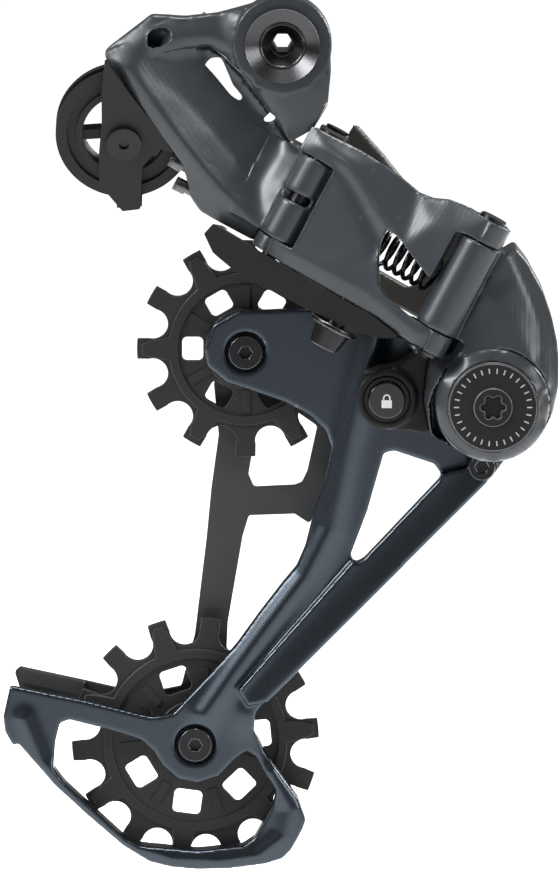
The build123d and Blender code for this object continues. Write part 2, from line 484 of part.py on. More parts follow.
# ---------------------------------------------------------------- lower knuckle with its clutch
P_BARREL_TOP = -19.3
P_BARREL_FOOT = -43.9
CAVITY_RADIUS = 11.4
with BuildPart() as p_knuckle:
    outline_slab([(46.4, -60), (50, -54), (56.0, -52.0), (58.6, -50.3), (61.8, -54.4), (65.6, -61.5),
                  (68.0, -68.4), (69.3, -74.4), (69.8, -80), (69.6, -86.1), (68.2, -92.6), (65.6, -97.4),
                  (61.8, -101.2), (58.1, -103.4), (53.8, -104.2), (48.5, -103.6), (44.2, -102.3),
                  (37.3, -98.6), (35.8, -90), (37.0, -80.0), (42.6, -79.0), (45.4, -75.0), (46.8, -69)],
                 side(-4.0), 24.0, corner=0.8)
    # the outboard face falls away towards the front edge and towards the lock
    disc(Plane(origin=(52, -28, -70), z_dir=(0.42, -1.0, 0)), 60, 30, mode=Mode.SUBTRACT)
    disc(Plane(origin=(46, -28, -80), z_dir=(-1.0, -0.9, -0.4)), 60, 30, mode=Mode.SUBTRACT)
    disc(at(CAGE_PIVOT, 2.0), 14.4, 32.0)
    disc(pin_plane(P_OUTER, P_BARREL_FOOT), 5.5, P_BARREL_TOP - P_BARREL_FOOT)
    disc(pin_plane(P_INNER, INNER_BARREL_FOOT), 4.4, INNER_BARREL_TOP - INNER_BARREL_FOOT)
    with BuildSketch(pin_plane(P_OUTER, P_BARREL_FOOT)) as shoulder:
        Circle(5.5)
        with Locations((8.0, 7.0)):
            Circle(4.0)
        make_hull()
    extrude(shoulder.sketch, amount=P_BARREL_TOP - P_BARREL_FOOT)
    outline_slab([(68.4, INNER_BARREL_FOOT), (78.0, INNER_BARREL_FOOT), (78.0, INNER_BARREL_TOP),
                  (68.4, INNER_BARREL_TOP)], tilted(-3.0), 10.0)
    # room for the links' ears
    disc(pin_plane(P_OUTER, P_BARREL_TOP), EAR_CLEARANCE_RADIUS, 14, mode=Mode.SUBTRACT)
    disc(pin_plane(P_OUTER, P_BARREL_FOOT - 10), EAR_CLEARANCE_RADIUS, 10, mode=Mode.SUBTRACT)
    disc(pin_plane(P_INNER, INNER_BARREL_TOP), 5.2, 14, mode=Mode.SUBTRACT)
    disc(pin_plane(P_INNER, INNER_BARREL_FOOT - 8), 5.2, 8, mode=Mode.SUBTRACT)
    disc(pin_plane(P_OUTER, -60), BORE_RADIUS, 50, mode=Mode.SUBTRACT)
    disc(pin_plane(P_INNER, -60), BORE_RADIUS, 50, mode=Mode.SUBTRACT)
    # clutch cavity, open outboard, and the axle's bores
    disc(at(CAGE_PIVOT, -2.0), CAVITY_RADIUS, 40, mode=Mode.SUBTRACT)
    disc(at(CAGE_PIVOT, 5.0), 6.0 + PRESS_CLEARANCE, 10, mode=Mode.SUBTRACT)
p_knuckle.part.label = "p_knuckle"
export_step(p_knuckle.part, "parts/p_knuckle.step")

with BuildPart() as clutch_cap:
    disc(at(CAGE_PIVOT, -27.0), CAVITY_RADIUS - PRESS_CLEARANCE, 3.6)
    disc(at(CAGE_PIVOT, -30.2), 11.0, 0.9)
    disc(at(CAGE_PIVOT, -30.0), 4.8, 1.8)
    with BuildSketch(at(CAGE_PIVOT, -30.2)):
        Circle(2.5)
        with PolarLocations(2.4, 6):
            Circle(0.9)
    extrude(amount=3, mode=Mode.SUBTRACT)
clutch_cap.part.label = "clutch_cap"
export_step(clutch_cap.part, "parts/clutch_cap.step")

ROLLER_COUNT = 8
ROLLER_RADIUS = 1.25
with BuildPart() as clutch_ring:
    disc(at(CAGE_PIVOT, -17.0), CAVITY_RADIUS - PRESS_CLEARANCE, 9.0, inner=9.0)
clutch_ring.part.label = "clutch_ring"
export_step(clutch_ring.part, "parts/clutch_ring.step")

with BuildPart() as clutch_rollers:
    with BuildSketch(at(CAGE_PIVOT, -17.6)):
        with PolarLocations(9.0 - ROLLER_RADIUS - RUNNING_CLEARANCE, ROLLER_COUNT):
            Circle(ROLLER_RADIUS)
    extrude(amount=7.8)
clutch_rollers.part.label = "clutch_rollers"
export_step(clutch_rollers.part, "parts/clutch_rollers.step")

with BuildPart() as clutch_hub:
    disc(at(CAGE_PIVOT, -17.3), 6.3, 8.4, inner=4.0 + PRESS_CLEARANCE)
clutch_hub.part.label = "clutch_hub"
export_step(clutch_hub.part, "parts/clutch_hub.step")

with BuildPart() as cage_spring:
    with BuildLine() as winding:
        Helix(2.3, 2.3 * 5, 8.6, center=(CAGE_PIVOT[0], -3.4, CAGE_PIVOT[1]), direction=(0, -1, 0))
    with BuildSketch(Plane(origin=winding.line @ 0, z_dir=winding.line % 0)):
        Circle(0.95)
    sweep(path=winding.line, is_frenet=True)
cage_spring.part.label = "cage_spring"
export_step(cage_spring.part, "parts/cage_spring.step")

with BuildPart() as pivot_bush:
    disc(at(CAGE_PIVOT, 1.9), 6.0, 3.6, inner=4.0 + RUNNING_CLEARANCE)
pivot_bush.part.label = "pivot_bush"
export_step(pivot_bush.part, "parts/pivot_bush.step")

with BuildPart() as dust_seal:
    disc(at(CAGE_PIVOT, 2.7), 7.6, 0.6, inner=4.3)
dust_seal.part.label = "dust_seal"
export_step(dust_seal.part, "parts/dust_seal.step")

LOCK_FRONT = -12.5
HOUSING_RADIUS = 7.6
with BuildPart() as lock_housing:
    disc(at(BUTTON_CENTRE, 1.2), HOUSING_RADIUS, 1.2 - LOCK_FRONT)
    outline_slab([(38.0, -77.5), (33.6, -78.4), (29.3, -81.6), (20.0, -84.0), (22.0, -96.4), (26.5, -98.0),
                  (32.5, -98.2), (37.3, -99.4)], side(1.2), -1.0 - LOCK_FRONT, corner=1.6)
    disc(at(BUTTON_CENTRE, LOCK_FRONT + 6.0), 5.7, 12, mode=Mode.SUBTRACT)
    disc(at(BUTTON_CENTRE, 3.0), 2.0 + RUNNING_CLEARANCE, 12, mode=Mode.SUBTRACT)
    add(p_knuckle.part, mode=Mode.SUBTRACT)
lock_housing.part.label = "lock_housing"
export_step(lock_housing.part, "parts/lock_housing.step")

with BuildPart() as lock_collar:
    disc(at(BUTTON_CENTRE, LOCK_FRONT + 3.0), 5.7 - PRESS_CLEARANCE, 3.6, inner=4.75)
lock_collar.part.label = "lock_collar"
export_step(lock_collar.part, "parts/lock_collar.step")

with BuildPart() as lock_button:
    disc(at(BUTTON_CENTRE, LOCK_FRONT + 2.0), 4.6, 4.4)
    disc(at(BUTTON_CENTRE, 0.2), 2.0, 11.0)
lock_button.part.label = "lock_button"
export_step(lock_button.part, "parts/lock_button.step")

with BuildPart() as lock_spring:
    with BuildLine() as turns:
        Helix(0.95, 0.95 * 3, 3.0, center=(BUTTON_CENTRE[0], LOCK_FRONT + 5.5, BUTTON_CENTRE[1]),
              direction=(0, -1, 0))
    with BuildSketch(Plane(origin=turns.line @ 0, z_dir=turns.line % 0)):
        Circle(0.3)
    sweep(path=turns.line, is_frenet=True)
lock_spring.part.label = "lock_spring"
export_step(lock_spring.part, "parts/lock_spring.step")

# ---------------------------------------------------------------- cage
CAGE_OUTLINE = [(-11.2, -69.2), (8.0, -68.5), (37.0, -71.5), (53.0, -72.5), (62.0, -75.0), (68.5, -83.0),
                (70.0, -91.0), (66.5, -100.0), (57.3, -106.6), (53.8, -111.2), (-3.5, -169.1),
                (-5.1, -170.3), (-6.8, -172.6), (-7.3, -177.2), (-4.5, -182.9), (4.0, -194.9), (6.0, -200.5),
                (5.1, -202.9), (2.3, -208.0), (0.0, -210.3), (-4.5, -211.7), (-13.0, -212.8),
                (-21.5, -213.1), (-28.3, -212.5), (-34.0, -211.1), (-40.8, -206.9), (-49.8, -199.1),
                (-58.3, -191.2), (-67.7, -180.3), (-68.8, -181.2), (-70.9, -177.5), (-71.4, -173.7),
                (-69.6, -165.6), (-49.8, -169.7), (-36.2, -173.1), (-33.4, -173.7), (-30.6, -173.4),
                (-27.7, -172.6), (-18.5, -162.6), (-11.7, -154.7), (-5.5, -146.1), (0.2, -138.7),
                (3.6, -134.6), (5.8, -129.5), (8.0, -120.8), (10.9, -112.4), (12.7, -104.1),
                (11.2, -99.6), (6.9, -95.8), (1.0, -92.6), (-7.5, -89.6), (-13.9, -87.5), (-19.0, -83.4),
                (-19.8, -78.9), (-17.6, -72.8)]
TRIANGLE = [(25.9, -105.6), (28.5, -105.0), (38.7, -108.4), (40.5, -111.0), (39.8, -112.4), (20.8, -132.6),
            (18.6, -133.8), (17.4, -131.8), (21.7, -120.4)]
GUARD_WINDOW = [(-56.9, -175.2), (-54.5, -174.3), (-44.2, -176.9), (-36.4, -179.4), (-32.8, -182.3),
                (-30.6, -186.0), (-27.0, -189.4), (-21.5, -190.6), (-16.6, -189.0), (-12.4, -184.6),
                (-9.0, -182.3), (-6.5, -184.0), (-1.7, -192.8), (-2.2, -196.0), (-7.3, -205.2),
                (-10.2, -207.1), (-21.5, -208.3), (-36.2, -206.9), (-40.5, -204.9), (-47.0, -198.8),
                (-55.5, -190.9), (-58.6, -186.8), (-58.1, -180.0)]
STOP_SCREW_AT = (50.8, -108.8)
STRUT_RISE = 2.4
with BuildPart() as outer_cage_plate:
    outline_slab(CAGE_OUTLINE, side(CAGE_BACK), CAGE_BACK - CAGE_FRONT, corner=0.6)
    # raised strut
    outline_slab([(-11.4, -166.5), (-8.8, -170.4), (-3.8, -169.4), (52.6, -112.4), (47.0, -109.0),
                  (39.0, -111.0), (18.0, -133.0)], side(CAGE_FRONT), STRUT_RISE, corner=0.5)
    # deeper lower guard
    outline_slab([(-7.3, -177.2), (-4.5, -182.9), (4.0, -194.9), (6.0, -200.5), (2.3, -208.0), (-4.5, -211.7),
                  (-21.5, -213.1), (-34.0, -211.1), (-49.8, -199.1), (-67.0, -181.0), (-58.0, -178.0),
                  (-58.6, -186.8), (-55.5, -190.9), (-47.0, -198.8), (-40.5, -204.9), (-36.2, -206.9),
                  (-21.5, -208.3), (-10.2, -207.1), (-7.3, -205.2), (-2.2, -196.0), (-1.7, -192.8)],
                 side(10.0), 10.0 - CAGE_BACK)
    outline_slab(TRIANGLE, side(CAGE_BACK + 1), 12, corner=0.8, mode=Mode.SUBTRACT)
    outline_slab(GUARD_WINDOW, side(14), 20, corner=0.8, mode=Mode.SUBTRACT)
    disc(at(STOP_SCREW_AT, CAGE_BACK), 3.6, 5.4)
    disc(at(STOP_SCREW_AT, CAGE_BACK + 1), 1.9 + PRESS_CLEARANCE, 12, mode=Mode.SUBTRACT)
    for centre in (UPPER_CENTRE, LOWER_CENTRE):
        disc(at(centre, CAGE_FRONT + 0.9), 5.2, 2, mode=Mode.SUBTRACT)
        disc(at(centre, CAGE_BACK + 1), 2.5 + PRESS_CLEARANCE, 8, mode=Mode.SUBTRACT)
    disc(at(CAGE_PIVOT, CAGE_BACK + 1), 4.0 + PRESS_CLEARANCE, 8, mode=Mode.SUBTRACT)
outer_cage_plate.part.label = "outer_cage_plate"
export_step(outer_cage_plate.part, "parts/outer_cage_plate.step")

INNER_OUTLINE = [(-16.5, -76.0), (-9.4, -71.8), (0.0, -74.5), (20.0, -83.0), (40.0, -93.0), (46.0, -100.0),
                 (40.0, -104.0), (30.0, -101.0), (14.0, -104.0), (12.5, -117.0), (6.9, -125.7), (3.2, -123.2),
                 (-8.6, -123.6), (-10.2, -129.0), (-14.0, -151.2), (-14.3, -158.0), (-10.0, -166.0),
                 (-12.0, -176.0), (-13.0, -186.0), (-20.0, -191.5), (-30.0, -189.0), (-38.0, -181.0),
                 (-50.0, -176.0), (-66.0, -173.5), (-68.8, -164.2), (-67.4, -163.0), (-50.7, -166.6),
                 (-36.0, -170.0), (-26.0, -168.0), (-22.5, -154.6), (-19.5, -130.0), (-18.2, -116.6),
                 (-16.3, -102.8), (-17.5, -90.0)]
INNER_WINDOW = [(-6.5, -100.0), (4.0, -97.0), (9.0, -100.5), (6.4, -112.3), (5.0, -115.2), (3.2, -115.9),
                (-7.3, -116.4), (-8.7, -113.0)]
with BuildPart() as inner_cage_plate:
    outline_slab(INNER_OUTLINE, side(INNER_PLATE_BACK), INNER_PLATE_BACK - INNER_PLATE_FRONT, corner=0.8)
    outline_slab([(-68.0, -166.4), (-67.4, -163.0), (-50.7, -166.6), (-51.2, -169.9)],
                 side(INNER_PLATE_FRONT), 2.4, corner=0.5)
    outline_slab(INNER_WINDOW, side(30), 20, corner=1.2, mode=Mode.SUBTRACT)
    for centre in (UPPER_CENTRE, LOWER_CENTRE):
        disc(at(centre, 30), 2.5 + PRESS_CLEARANCE, 20, mode=Mode.SUBTRACT)
inner_cage_plate.part.label = "inner_cage_plate"
export_step(inner_cage_plate.part, "parts/inner_cage_plate.step")

with BuildPart() as cage_axle:
    disc(at(CAGE_PIVOT, CAGE_BACK + 0.9), 6.4, 0.9)
    disc(at(CAGE_PIVOT, CAGE_BACK + 0.5), 4.0, 32.6)
    disc(at(CAGE_PIVOT, CAGE_BACK + 1), 2.2, 4.0, mode=Mode.SUBTRACT)
cage_axle.part.label = "cage_axle"
export_step(cage_axle.part, "parts/cage_axle.step")

with BuildPart() as cage_stop_screw:
    disc(at(STOP_SCREW_AT, 5.5), 1.9, 5.2)
    disc(at(STOP_SCREW_AT, 0.6), 3.3, 1.8)
    with BuildSketch(at(STOP_SCREW_AT, 0.0)):
        RegularPolygon(1.9, 6)
    extrude(amount=2.0, mode=Mode.SUBTRACT)
cage_stop_screw.part.label = "cage_stop_screw"
export_step(cage_stop_screw.part, "parts/cage_stop_screw.step")

PULLEY_THICK = 4.2
PULLEY_THIN = 2.4
ROLLER_SEAT = 3.9
TOOTH_HEIGHT = 3.2
HOLE_CORNER = 1.3
BEARING_OUTER = 7.0
BEARING_INNER = 4.0


def pulley(centre, teeth, holes, hole_at, hole_size, first_angle):
    """A chain pulley with alternate thick and thin teeth and a ring of square holes."""
    pitch = pitch_radius(teeth)
    tip = pitch + TOOTH_HEIGHT
    with BuildSketch(at(centre, PULLEY_DEPTH + PULLEY_THIN / 2)) as blank:
        Circle(tip)
        with PolarLocations(pitch, teeth, start_angle=first_angle + 180 / teeth):
            Circle(ROLLER_SEAT, mode=Mode.SUBTRACT)
            Polygon((0, -ROLLER_SEAT), (4.2, -5.1), (4.2, 5.1), (0, ROLLER_SEAT), align=None,
                    mode=Mode.SUBTRACT)
        with PolarLocations(hole_at, holes, start_angle=first_angle):
            RectangleRounded(hole_size[0], hole_size[1], HOLE_CORNER, mode=Mode.SUBTRACT)
        Circle(BEARING_OUTER + PRESS_CLEARANCE, mode=Mode.SUBTRACT)
    extrude(blank.sketch, amount=PULLEY_THIN)
    # thick teeth, every other one
    with BuildSketch(at(centre, PULLEY_DEPTH + PULLEY_THICK / 2)) as wide:
        with PolarLocations(0, teeth // 2, start_angle=first_angle):
            Polygon((pitch - 5.4, -3.0), (pitch + 0.4, -1.9), (pitch + 1.9, -1.2), (pitch + 1.9, 1.2),
                    (pitch + 0.4, 1.9), (pitch - 5.4, 3.0), align=None)
    extrude(wide.sketch, amount=PULLEY_THICK)
    disc(at(centre, PULLEY_DEPTH + PULLEY_THICK / 2), pitch - 5.0, PULLEY_THICK, inner=pitch - 7.2)
    disc(at(centre, PULLEY_DEPTH + PULLEY_THICK / 2), 10.2, PULLEY_THICK, inner=BEARING_OUTER + PRESS_CLEARANCE)


with BuildPart() as upper_pulley:
    pulley(UPPER_CENTRE, UPPER_TEETH, 6, 13.5, (5.4, 6.2), 0)
upper_pulley.part.label = "upper_pulley"
export_step(upper_pulley.part, "parts/upper_pulley.step")

with BuildPart() as lower_pulley:
    pulley(LOWER_CENTRE, LOWER_TEETH, 7, 16.2, (6.4, 7.2), 5.5)
lower_pulley.part.label = "lower_pulley"
export_step(lower_pulley.part, "parts/lower_pulley.step")


def pulley_bearing(centre):
    """The ball bearing, taken as one ring, that a pulley turns on."""
    disc(at(centre, PULLEY_DEPTH + 2.2), BEARING_OUTER, 4.4, inner=BEARING_INNER + RUNNING_CLEARANCE)


def pulley_sleeve(centre):
    """The spacer between the cage plates that the bearing sits on."""
    disc(at(centre, INNER_PLATE_FRONT - 0.05), BEARING_INNER, INNER_PLATE_FRONT - CAGE_BACK - 0.1, inner=2.6)


def pulley_covers(centre):
    """The two thin dust covers, one on each side of a pulley."""
    disc(at(centre, PULLEY_DEPTH - 2.4), 8.4, 1.2, inner=BEARING_INNER + PRESS_CLEARANCE)
    disc(at(centre, PULLEY_DEPTH + 3.6), 8.4, 1.2, inner=BEARING_INNER + PRESS_CLEARANCE)


def pulley_bolt(centre):
    """The bolt through both cage plates, with a hexagon socket."""
    disc(at(centre, INNER_PLATE_BACK - 0.2), 2.5, INNER_PLATE_BACK - CAGE_FRONT + 0.2)
    disc(at(centre, CAGE_FRONT + 0.85), 4.2, 1.7)
    with BuildSketch(at(centre, CAGE_FRONT + 1.4)) as socket:
        RegularPolygon(1.75, 6)
    extrude(socket.sketch, amount=3, mode=Mode.SUBTRACT)


with BuildPart() as upper_pulley_bearing:
    pulley_bearing(UPPER_CENTRE)
upper_pulley_bearing.part.label = "upper_pulley_bearing"
export_step(upper_pulley_bearing.part, "parts/upper_pulley_bearing.step")

with BuildPart() as lower_pulley_bearing:
    pulley_bearing(LOWER_CENTRE)
lower_pulley_bearing.part.label = "lower_pulley_bearing"
export_step(lower_pulley_bearing.part, "parts/lower_pulley_bearing.step")

with BuildPart() as upper_pulley_sleeve:
    pulley_sleeve(UPPER_CENTRE)
upper_pulley_sleeve.part.label = "upper_pulley_sleeve"
export_step(upper_pulley_sleeve.part, "parts/upper_pulley_sleeve.step")

with BuildPart() as lower_pulley_sleeve:
    pulley_sleeve(LOWER_CENTRE)
lower_pulley_sleeve.part.label = "lower_pulley_sleeve"
export_step(lower_pulley_sleeve.part, "parts/lower_pulley_sleeve.step")

with BuildPart() as upper_pulley_covers:
    pulley_covers(UPPER_CENTRE)
upper_pulley_covers.part.label = "upper_pulley_covers"
export_step(upper_pulley_covers.part, "parts/upper_pulley_covers.step")

with BuildPart() as lower_pulley_covers:
    pulley_covers(LOWER_CENTRE)
lower_pulley_covers.part.label = "lower_pulley_covers"
export_step(lower_pulley_covers.part, "parts/lower_pulley_covers.step")

with BuildPart() as upper_pulley_bolt:
    pulley_bolt(UPPER_CENTRE)
upper_pulley_bolt.part.label = "upper_pulley_bolt"
export_step(upper_pulley_bolt.part, "parts/upper_pulley_bolt.step")

with BuildPart() as lower_pulley_bolt:
    pulley_bolt(LOWER_CENTRE)
lower_pulley_bolt.part.label = "lower_pulley_bolt"
export_step(lower_pulley_bolt.part, "parts/lower_pulley_bolt.step")
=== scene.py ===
"""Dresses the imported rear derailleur: cast knuckles, forged links, sculpted cage and moulded pulleys.

Lengths in the classes are millimetres and become metres where a mesh is made.
"""
import logging
import math
from dataclasses import dataclass, field, replace
from enum import Enum

import bmesh
import bpy
import numpy as np
from mathutils import Matrix, Vector
from mathutils.geometry import delaunay_2d_cdt


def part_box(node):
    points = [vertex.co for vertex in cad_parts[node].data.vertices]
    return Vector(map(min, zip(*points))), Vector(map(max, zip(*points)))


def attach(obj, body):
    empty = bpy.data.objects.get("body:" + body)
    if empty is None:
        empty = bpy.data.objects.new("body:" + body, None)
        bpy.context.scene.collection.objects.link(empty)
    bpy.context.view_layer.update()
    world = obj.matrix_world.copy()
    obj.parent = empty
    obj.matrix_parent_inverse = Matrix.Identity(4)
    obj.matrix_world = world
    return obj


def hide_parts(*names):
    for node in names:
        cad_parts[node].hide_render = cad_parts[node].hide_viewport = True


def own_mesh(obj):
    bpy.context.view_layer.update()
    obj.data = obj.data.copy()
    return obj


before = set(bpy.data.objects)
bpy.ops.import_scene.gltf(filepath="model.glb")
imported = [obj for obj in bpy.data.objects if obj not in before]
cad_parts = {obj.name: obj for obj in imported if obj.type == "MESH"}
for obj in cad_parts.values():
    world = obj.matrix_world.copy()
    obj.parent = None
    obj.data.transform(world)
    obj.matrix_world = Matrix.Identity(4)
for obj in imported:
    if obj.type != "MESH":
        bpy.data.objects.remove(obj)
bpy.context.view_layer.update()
LOG = logging.getLogger("derailleur")
MM = 0.001
Point = tuple[float, float, float]
Flat = tuple[float, float]

PIN_TILT = math.radians(28.0)
LINK_ANGLE = math.radians(-18.0)
ALONG = Vector((math.cos(PIN_TILT), 0.0, -math.sin(PIN_TILT)))
UP_PIN = Vector((math.sin(PIN_TILT), 0.0, math.cos(PIN_TILT)))
INBOARD = Vector((0.0, 1.0, 0.0))
LINK_DIR = ALONG * math.cos(LINK_ANGLE) + INBOARD * math.sin(LINK_ANGLE)
LINK_OUT = LINK_DIR.cross(UP_PIN)
B_OUTER = (22.1, -13.0)
B_INNER = (23.6, 8.0)
CAP_CENTRE = (52.95, -89.8)

CDT_EPSILON = 0.0001
SLIVER_AREA = 1e-9
EDGE_SLACK = 1e-6
RELIEF_FACING = 0.3
RIDGE_FACING = 0.25
RIDGE_FADE = 2.6
BLUR_SHARE = 0.6
# Pointiness range over which sharp edges take the edge wear and painted highlight.
WORN_LIT_EDGE_FROM = 0.52
WORN_LIT_EDGE_TO = 0.66


class Grain(Enum):
    """How a finish's surface is textured."""

    CAST = "cast"
    MOULDED = "moulded"
    BRUSHED = "brushed"
    TURNED = "turned"
    PLAIN = "plain"


@dataclass(frozen=True)
class Finish:
    """A surface finish and the sizes of its grain."""

    name: str
    slot: str
    colour: Point
    roughness: float
    metallic: float = 0.0
    grain: Grain = Grain.PLAIN
    grain_scale: float = 900.0
    grain_depth: float = 0.00002
    mottle: float = 0.12
    # Colour and share mixed into the edges: a painted highlight on bevel faces, and edge wear with a painted
    # highlight on sharp edges where the flag below is set.
    edge_wear_highlight_colour: Point = (0.3, 0.3, 0.31)
    edge_wear_highlight_amount: float = 0.0
    coat: float = 0.0
    specular: float = 0.5
    anisotropy: float = 0.0
    # Lightens sharp edges: edge wear together with a painted highlight.
    worn_lit_edges: bool = False

    def material(self) -> bpy.types.Material:
        """Build the finish's node material once and return it.

        Returns:
            The material, shared by every piece with this finish.
        """
        title = "finish_" + self.name
        known = bpy.data.materials.get(title)
        if known is not None:
            return known
        made = bpy.data.materials.new(title)
        made.use_nodes = True
        tree = made.node_tree
        shader = tree.nodes["Principled BSDF"]
        shader.inputs["Metallic"].default_value = self.metallic
        shader.inputs["Specular IOR Level"].default_value = self.specular
        shader.inputs["Coat Weight"].default_value = self.coat
        shader.inputs["Coat Roughness"].default_value = 0.18
        shader.inputs["Anisotropic"].default_value = self.anisotropy
        place = tree.nodes.new("ShaderNodeTexCoord").outputs["Object"]
        colour = self._mottled(tree, place)
        colour = self._worn_and_lit_edges(tree, place, colour)
        tree.links.new(colour, shader.inputs["Base Color"])
        self._roughen(tree, place, shader)
        return made

    def edge_highlight_finish(self) -> "Finish":
        """The smoother finish of this one's broken edges, lightened as a painted highlight."""
        share = self.edge_wear_highlight_amount
        # Painted highlight: the body colour mixed toward the lighter edge colour.
        colour = tuple(base * (1 - share) + edge * share for base, edge in zip(self.colour, self.edge_wear_highlight_colour))
        smoother = max(0.15, self.roughness - 0.1)
        return replace(self, name=self.name + "_edge", colour=colour, roughness=smoother, edge_wear_highlight_amount=0.0)

    def _noise(self, tree: bpy.types.NodeTree, place: bpy.types.NodeSocket, scale: float,
               detail: float = 3.0) -> bpy.types.NodeSocket:
        """Add a noise pattern in object space.

        Args:
            tree: The material's node tree.
            place: The coordinates the pattern reads.
            scale: Cycles per metre.
            detail: Octaves of the noise.

        Returns:
            The noise's grey output.
        """
        noise = tree.nodes.new("ShaderNodeTexNoise")
        noise.inputs["Scale"].default_value = scale
        noise.inputs["Detail"].default_value = detail
        tree.links.new(place, noise.inputs["Vector"])
        return noise.outputs["Fac"]

    def _mottled(self, tree: bpy.types.NodeTree, place: bpy.types.NodeSocket) -> bpy.types.NodeSocket:
        """Vary the base colour a little over the surface.

        Args:
            tree: The material's node tree.
            place: The coordinates the pattern reads.

        Returns:
            The colour socket.
        """
        mix = tree.nodes.new("ShaderNodeMix")
        mix.data_type = "RGBA"
        low = [channel * (1 - self.mottle) for channel in self.colour]
        high = [min(1.0, channel * (1 + self.mottle)) for channel in self.colour]
        mix.inputs["A"].default_value = (*low, 1.0)
        mix.inputs["B"].default_value = (*high, 1.0)
        tree.links.new(self._noise(tree, place, 160.0), mix.inputs["Factor"])
        return mix.outputs["Result"]

    def _worn_and_lit_edges(self, tree: bpy.types.NodeTree, place: bpy.types.NodeSocket,
              colour: bpy.types.NodeSocket) -> bpy.types.NodeSocket:
        """Lighten the sharp outer edges, broken up by a fine noise: edge wear together with a painted
        highlight.

        Args:
            tree: The material's node tree.
            place: The coordinates the pattern reads.
            colour: The colour underneath.

        Returns:
            The colour socket with its edges.
        """
        if self.edge_wear_highlight_amount <= 0 or not self.worn_lit_edges:
            return colour
        # Pointiness finds the sharp edges that take the edge wear and the painted highlight.
        geometry = tree.nodes.new("ShaderNodeNewGeometry")
        ramp = tree.nodes.new("ShaderNodeMapRange")
        ramp.inputs["From Min"].default_value = WORN_LIT_EDGE_FROM
        ramp.inputs["From Max"].default_value = WORN_LIT_EDGE_TO
        ramp.inputs["To Max"].default_value = self.edge_wear_highlight_amount
        tree.links.new(geometry.outputs["Pointiness"], ramp.inputs["Value"])
        breakup = tree.nodes.new("ShaderNodeMath")
        breakup.operation = "MULTIPLY"
        tree.links.new(ramp.outputs["Result"], breakup.inputs[0])
        tree.links.new(self._noise(tree, place, 420.0), breakup.inputs[1])
        mix = tree.nodes.new("ShaderNodeMix")
        mix.data_type = "RGBA"
        tree.links.new(breakup.outputs["Value"], mix.inputs["Factor"])
        tree.links.new(colour, mix.inputs["A"])
        mix.inputs["B"].default_value = (*self.edge_wear_highlight_colour, 1.0)
        return mix.outputs["Result"]

    def _roughen(self, tree: bpy.types.NodeTree, place: bpy.types.NodeSocket,
                 shader: bpy.types.Node) -> None:
        """Drive the roughness and the bump from the finish's grain.

        Args:
            tree: The material's node tree.
            place: The coordinates the pattern reads.
            shader: The Principled shader to drive.
        """
        mapping = tree.nodes.new("ShaderNodeMapping")
        stretch = {Grain.BRUSHED: (1.0, 1.0, 14.0), Grain.TURNED: (1.0, 9.0, 1.0)}
        mapping.inputs["Scale"].default_value = stretch.get(self.grain, (1.0, 1.0, 1.0))
        tree.links.new(place, mapping.inputs["Vector"])
        grain = self._noise(tree, mapping.outputs["Vector"], self.grain_scale, 2.0)
        spread = tree.nodes.new("ShaderNodeMapRange")
        spread.inputs["To Min"].default_value = max(0.04, self.roughness - 0.07)
        spread.inputs["To Max"].default_value = min(1.0, self.roughness + 0.07)
        tree.links.new(grain, spread.inputs["Value"])
        tree.links.new(spread.outputs["Result"], shader.inputs["Roughness"])
        if self.grain is Grain.PLAIN:
            return
        bump = tree.nodes.new("ShaderNodeBump")
        bump.inputs["Strength"].default_value = 0.12
        bump.inputs["Distance"].default_value = self.grain_depth
        tree.links.new(grain, bump.inputs["Height"])
        tree.links.new(bump.outputs["Normal"], shader.inputs["Normal"])


# Edge colours below are lighter than the bodies: painted highlights on the broken edges, together with edge
# wear where sharp edges are lightened.
CAST_PAINT = Finish("cast_paint", "grey_paint", (0.027, 0.032, 0.037), 0.36, 0.25, Grain.CAST, 2600.0,
                    edge_wear_highlight_colour=(0.09, 0.10, 0.11), edge_wear_highlight_amount=0.7, coat=0.12, worn_lit_edges=True)
LINK_ALLOY = Finish("link_alloy", "link_alloy", (0.085, 0.08, 0.075), 0.42, 0.6, Grain.CAST,
                    edge_wear_highlight_colour=(0.3, 0.29, 0.28), edge_wear_highlight_amount=0.8, worn_lit_edges=True)
BLACK_NYLON = Finish("black_nylon", "black_composite", (0.011, 0.011, 0.0115), 0.42, 0.0, Grain.MOULDED,
2200.0,
                     edge_wear_highlight_colour=(0.04, 0.04, 0.042), edge_wear_highlight_amount=0.5, specular=0.2)
SKID_NYLON = Finish("skid_nylon", "black_composite", (0.010, 0.0098, 0.0095), 0.36, 0.0, Grain.MOULDED,
2200.0,
                    edge_wear_highlight_colour=(0.05, 0.048, 0.045), edge_wear_highlight_amount=0.5, specular=0.2)
CAP_CHARCOAL = Finish("cap_charcoal", "cap_charcoal", (0.012, 0.012, 0.0125), 0.30, 0.1, Grain.CAST,
                      edge_wear_highlight_colour=(0.12, 0.12, 0.125), edge_wear_highlight_amount=0.9, specular=0.2)
BUTTON_GLOSS = Finish("button_gloss", "button_gloss", (0.006, 0.006, 0.007), 0.14, coat=0.6)
CAP_MARK = Finish("cap_mark", "cap_charcoal", (0.30, 0.30, 0.30), 0.5)
WHITE_MARK = Finish("white_mark", "button_gloss", (0.60, 0.60, 0.60), 0.5)
CAGE_ANODISED = Finish("cage_anodised", "cage_blueblack", (0.042, 0.052, 0.064), 0.29, 0.9, Grain.CAST,
3200.0,
                       0.000004, 0.05, (0.30, 0.36, 0.42), 0.55, coat=0.15, worn_lit_edges=True)
INNER_COAT = Finish("inner_coat", "inner_cage_steel", (0.034, 0.035, 0.037), 0.42, 0.3, Grain.CAST,
                    edge_wear_highlight_colour=(0.14, 0.14, 0.145), edge_wear_highlight_amount=0.6)
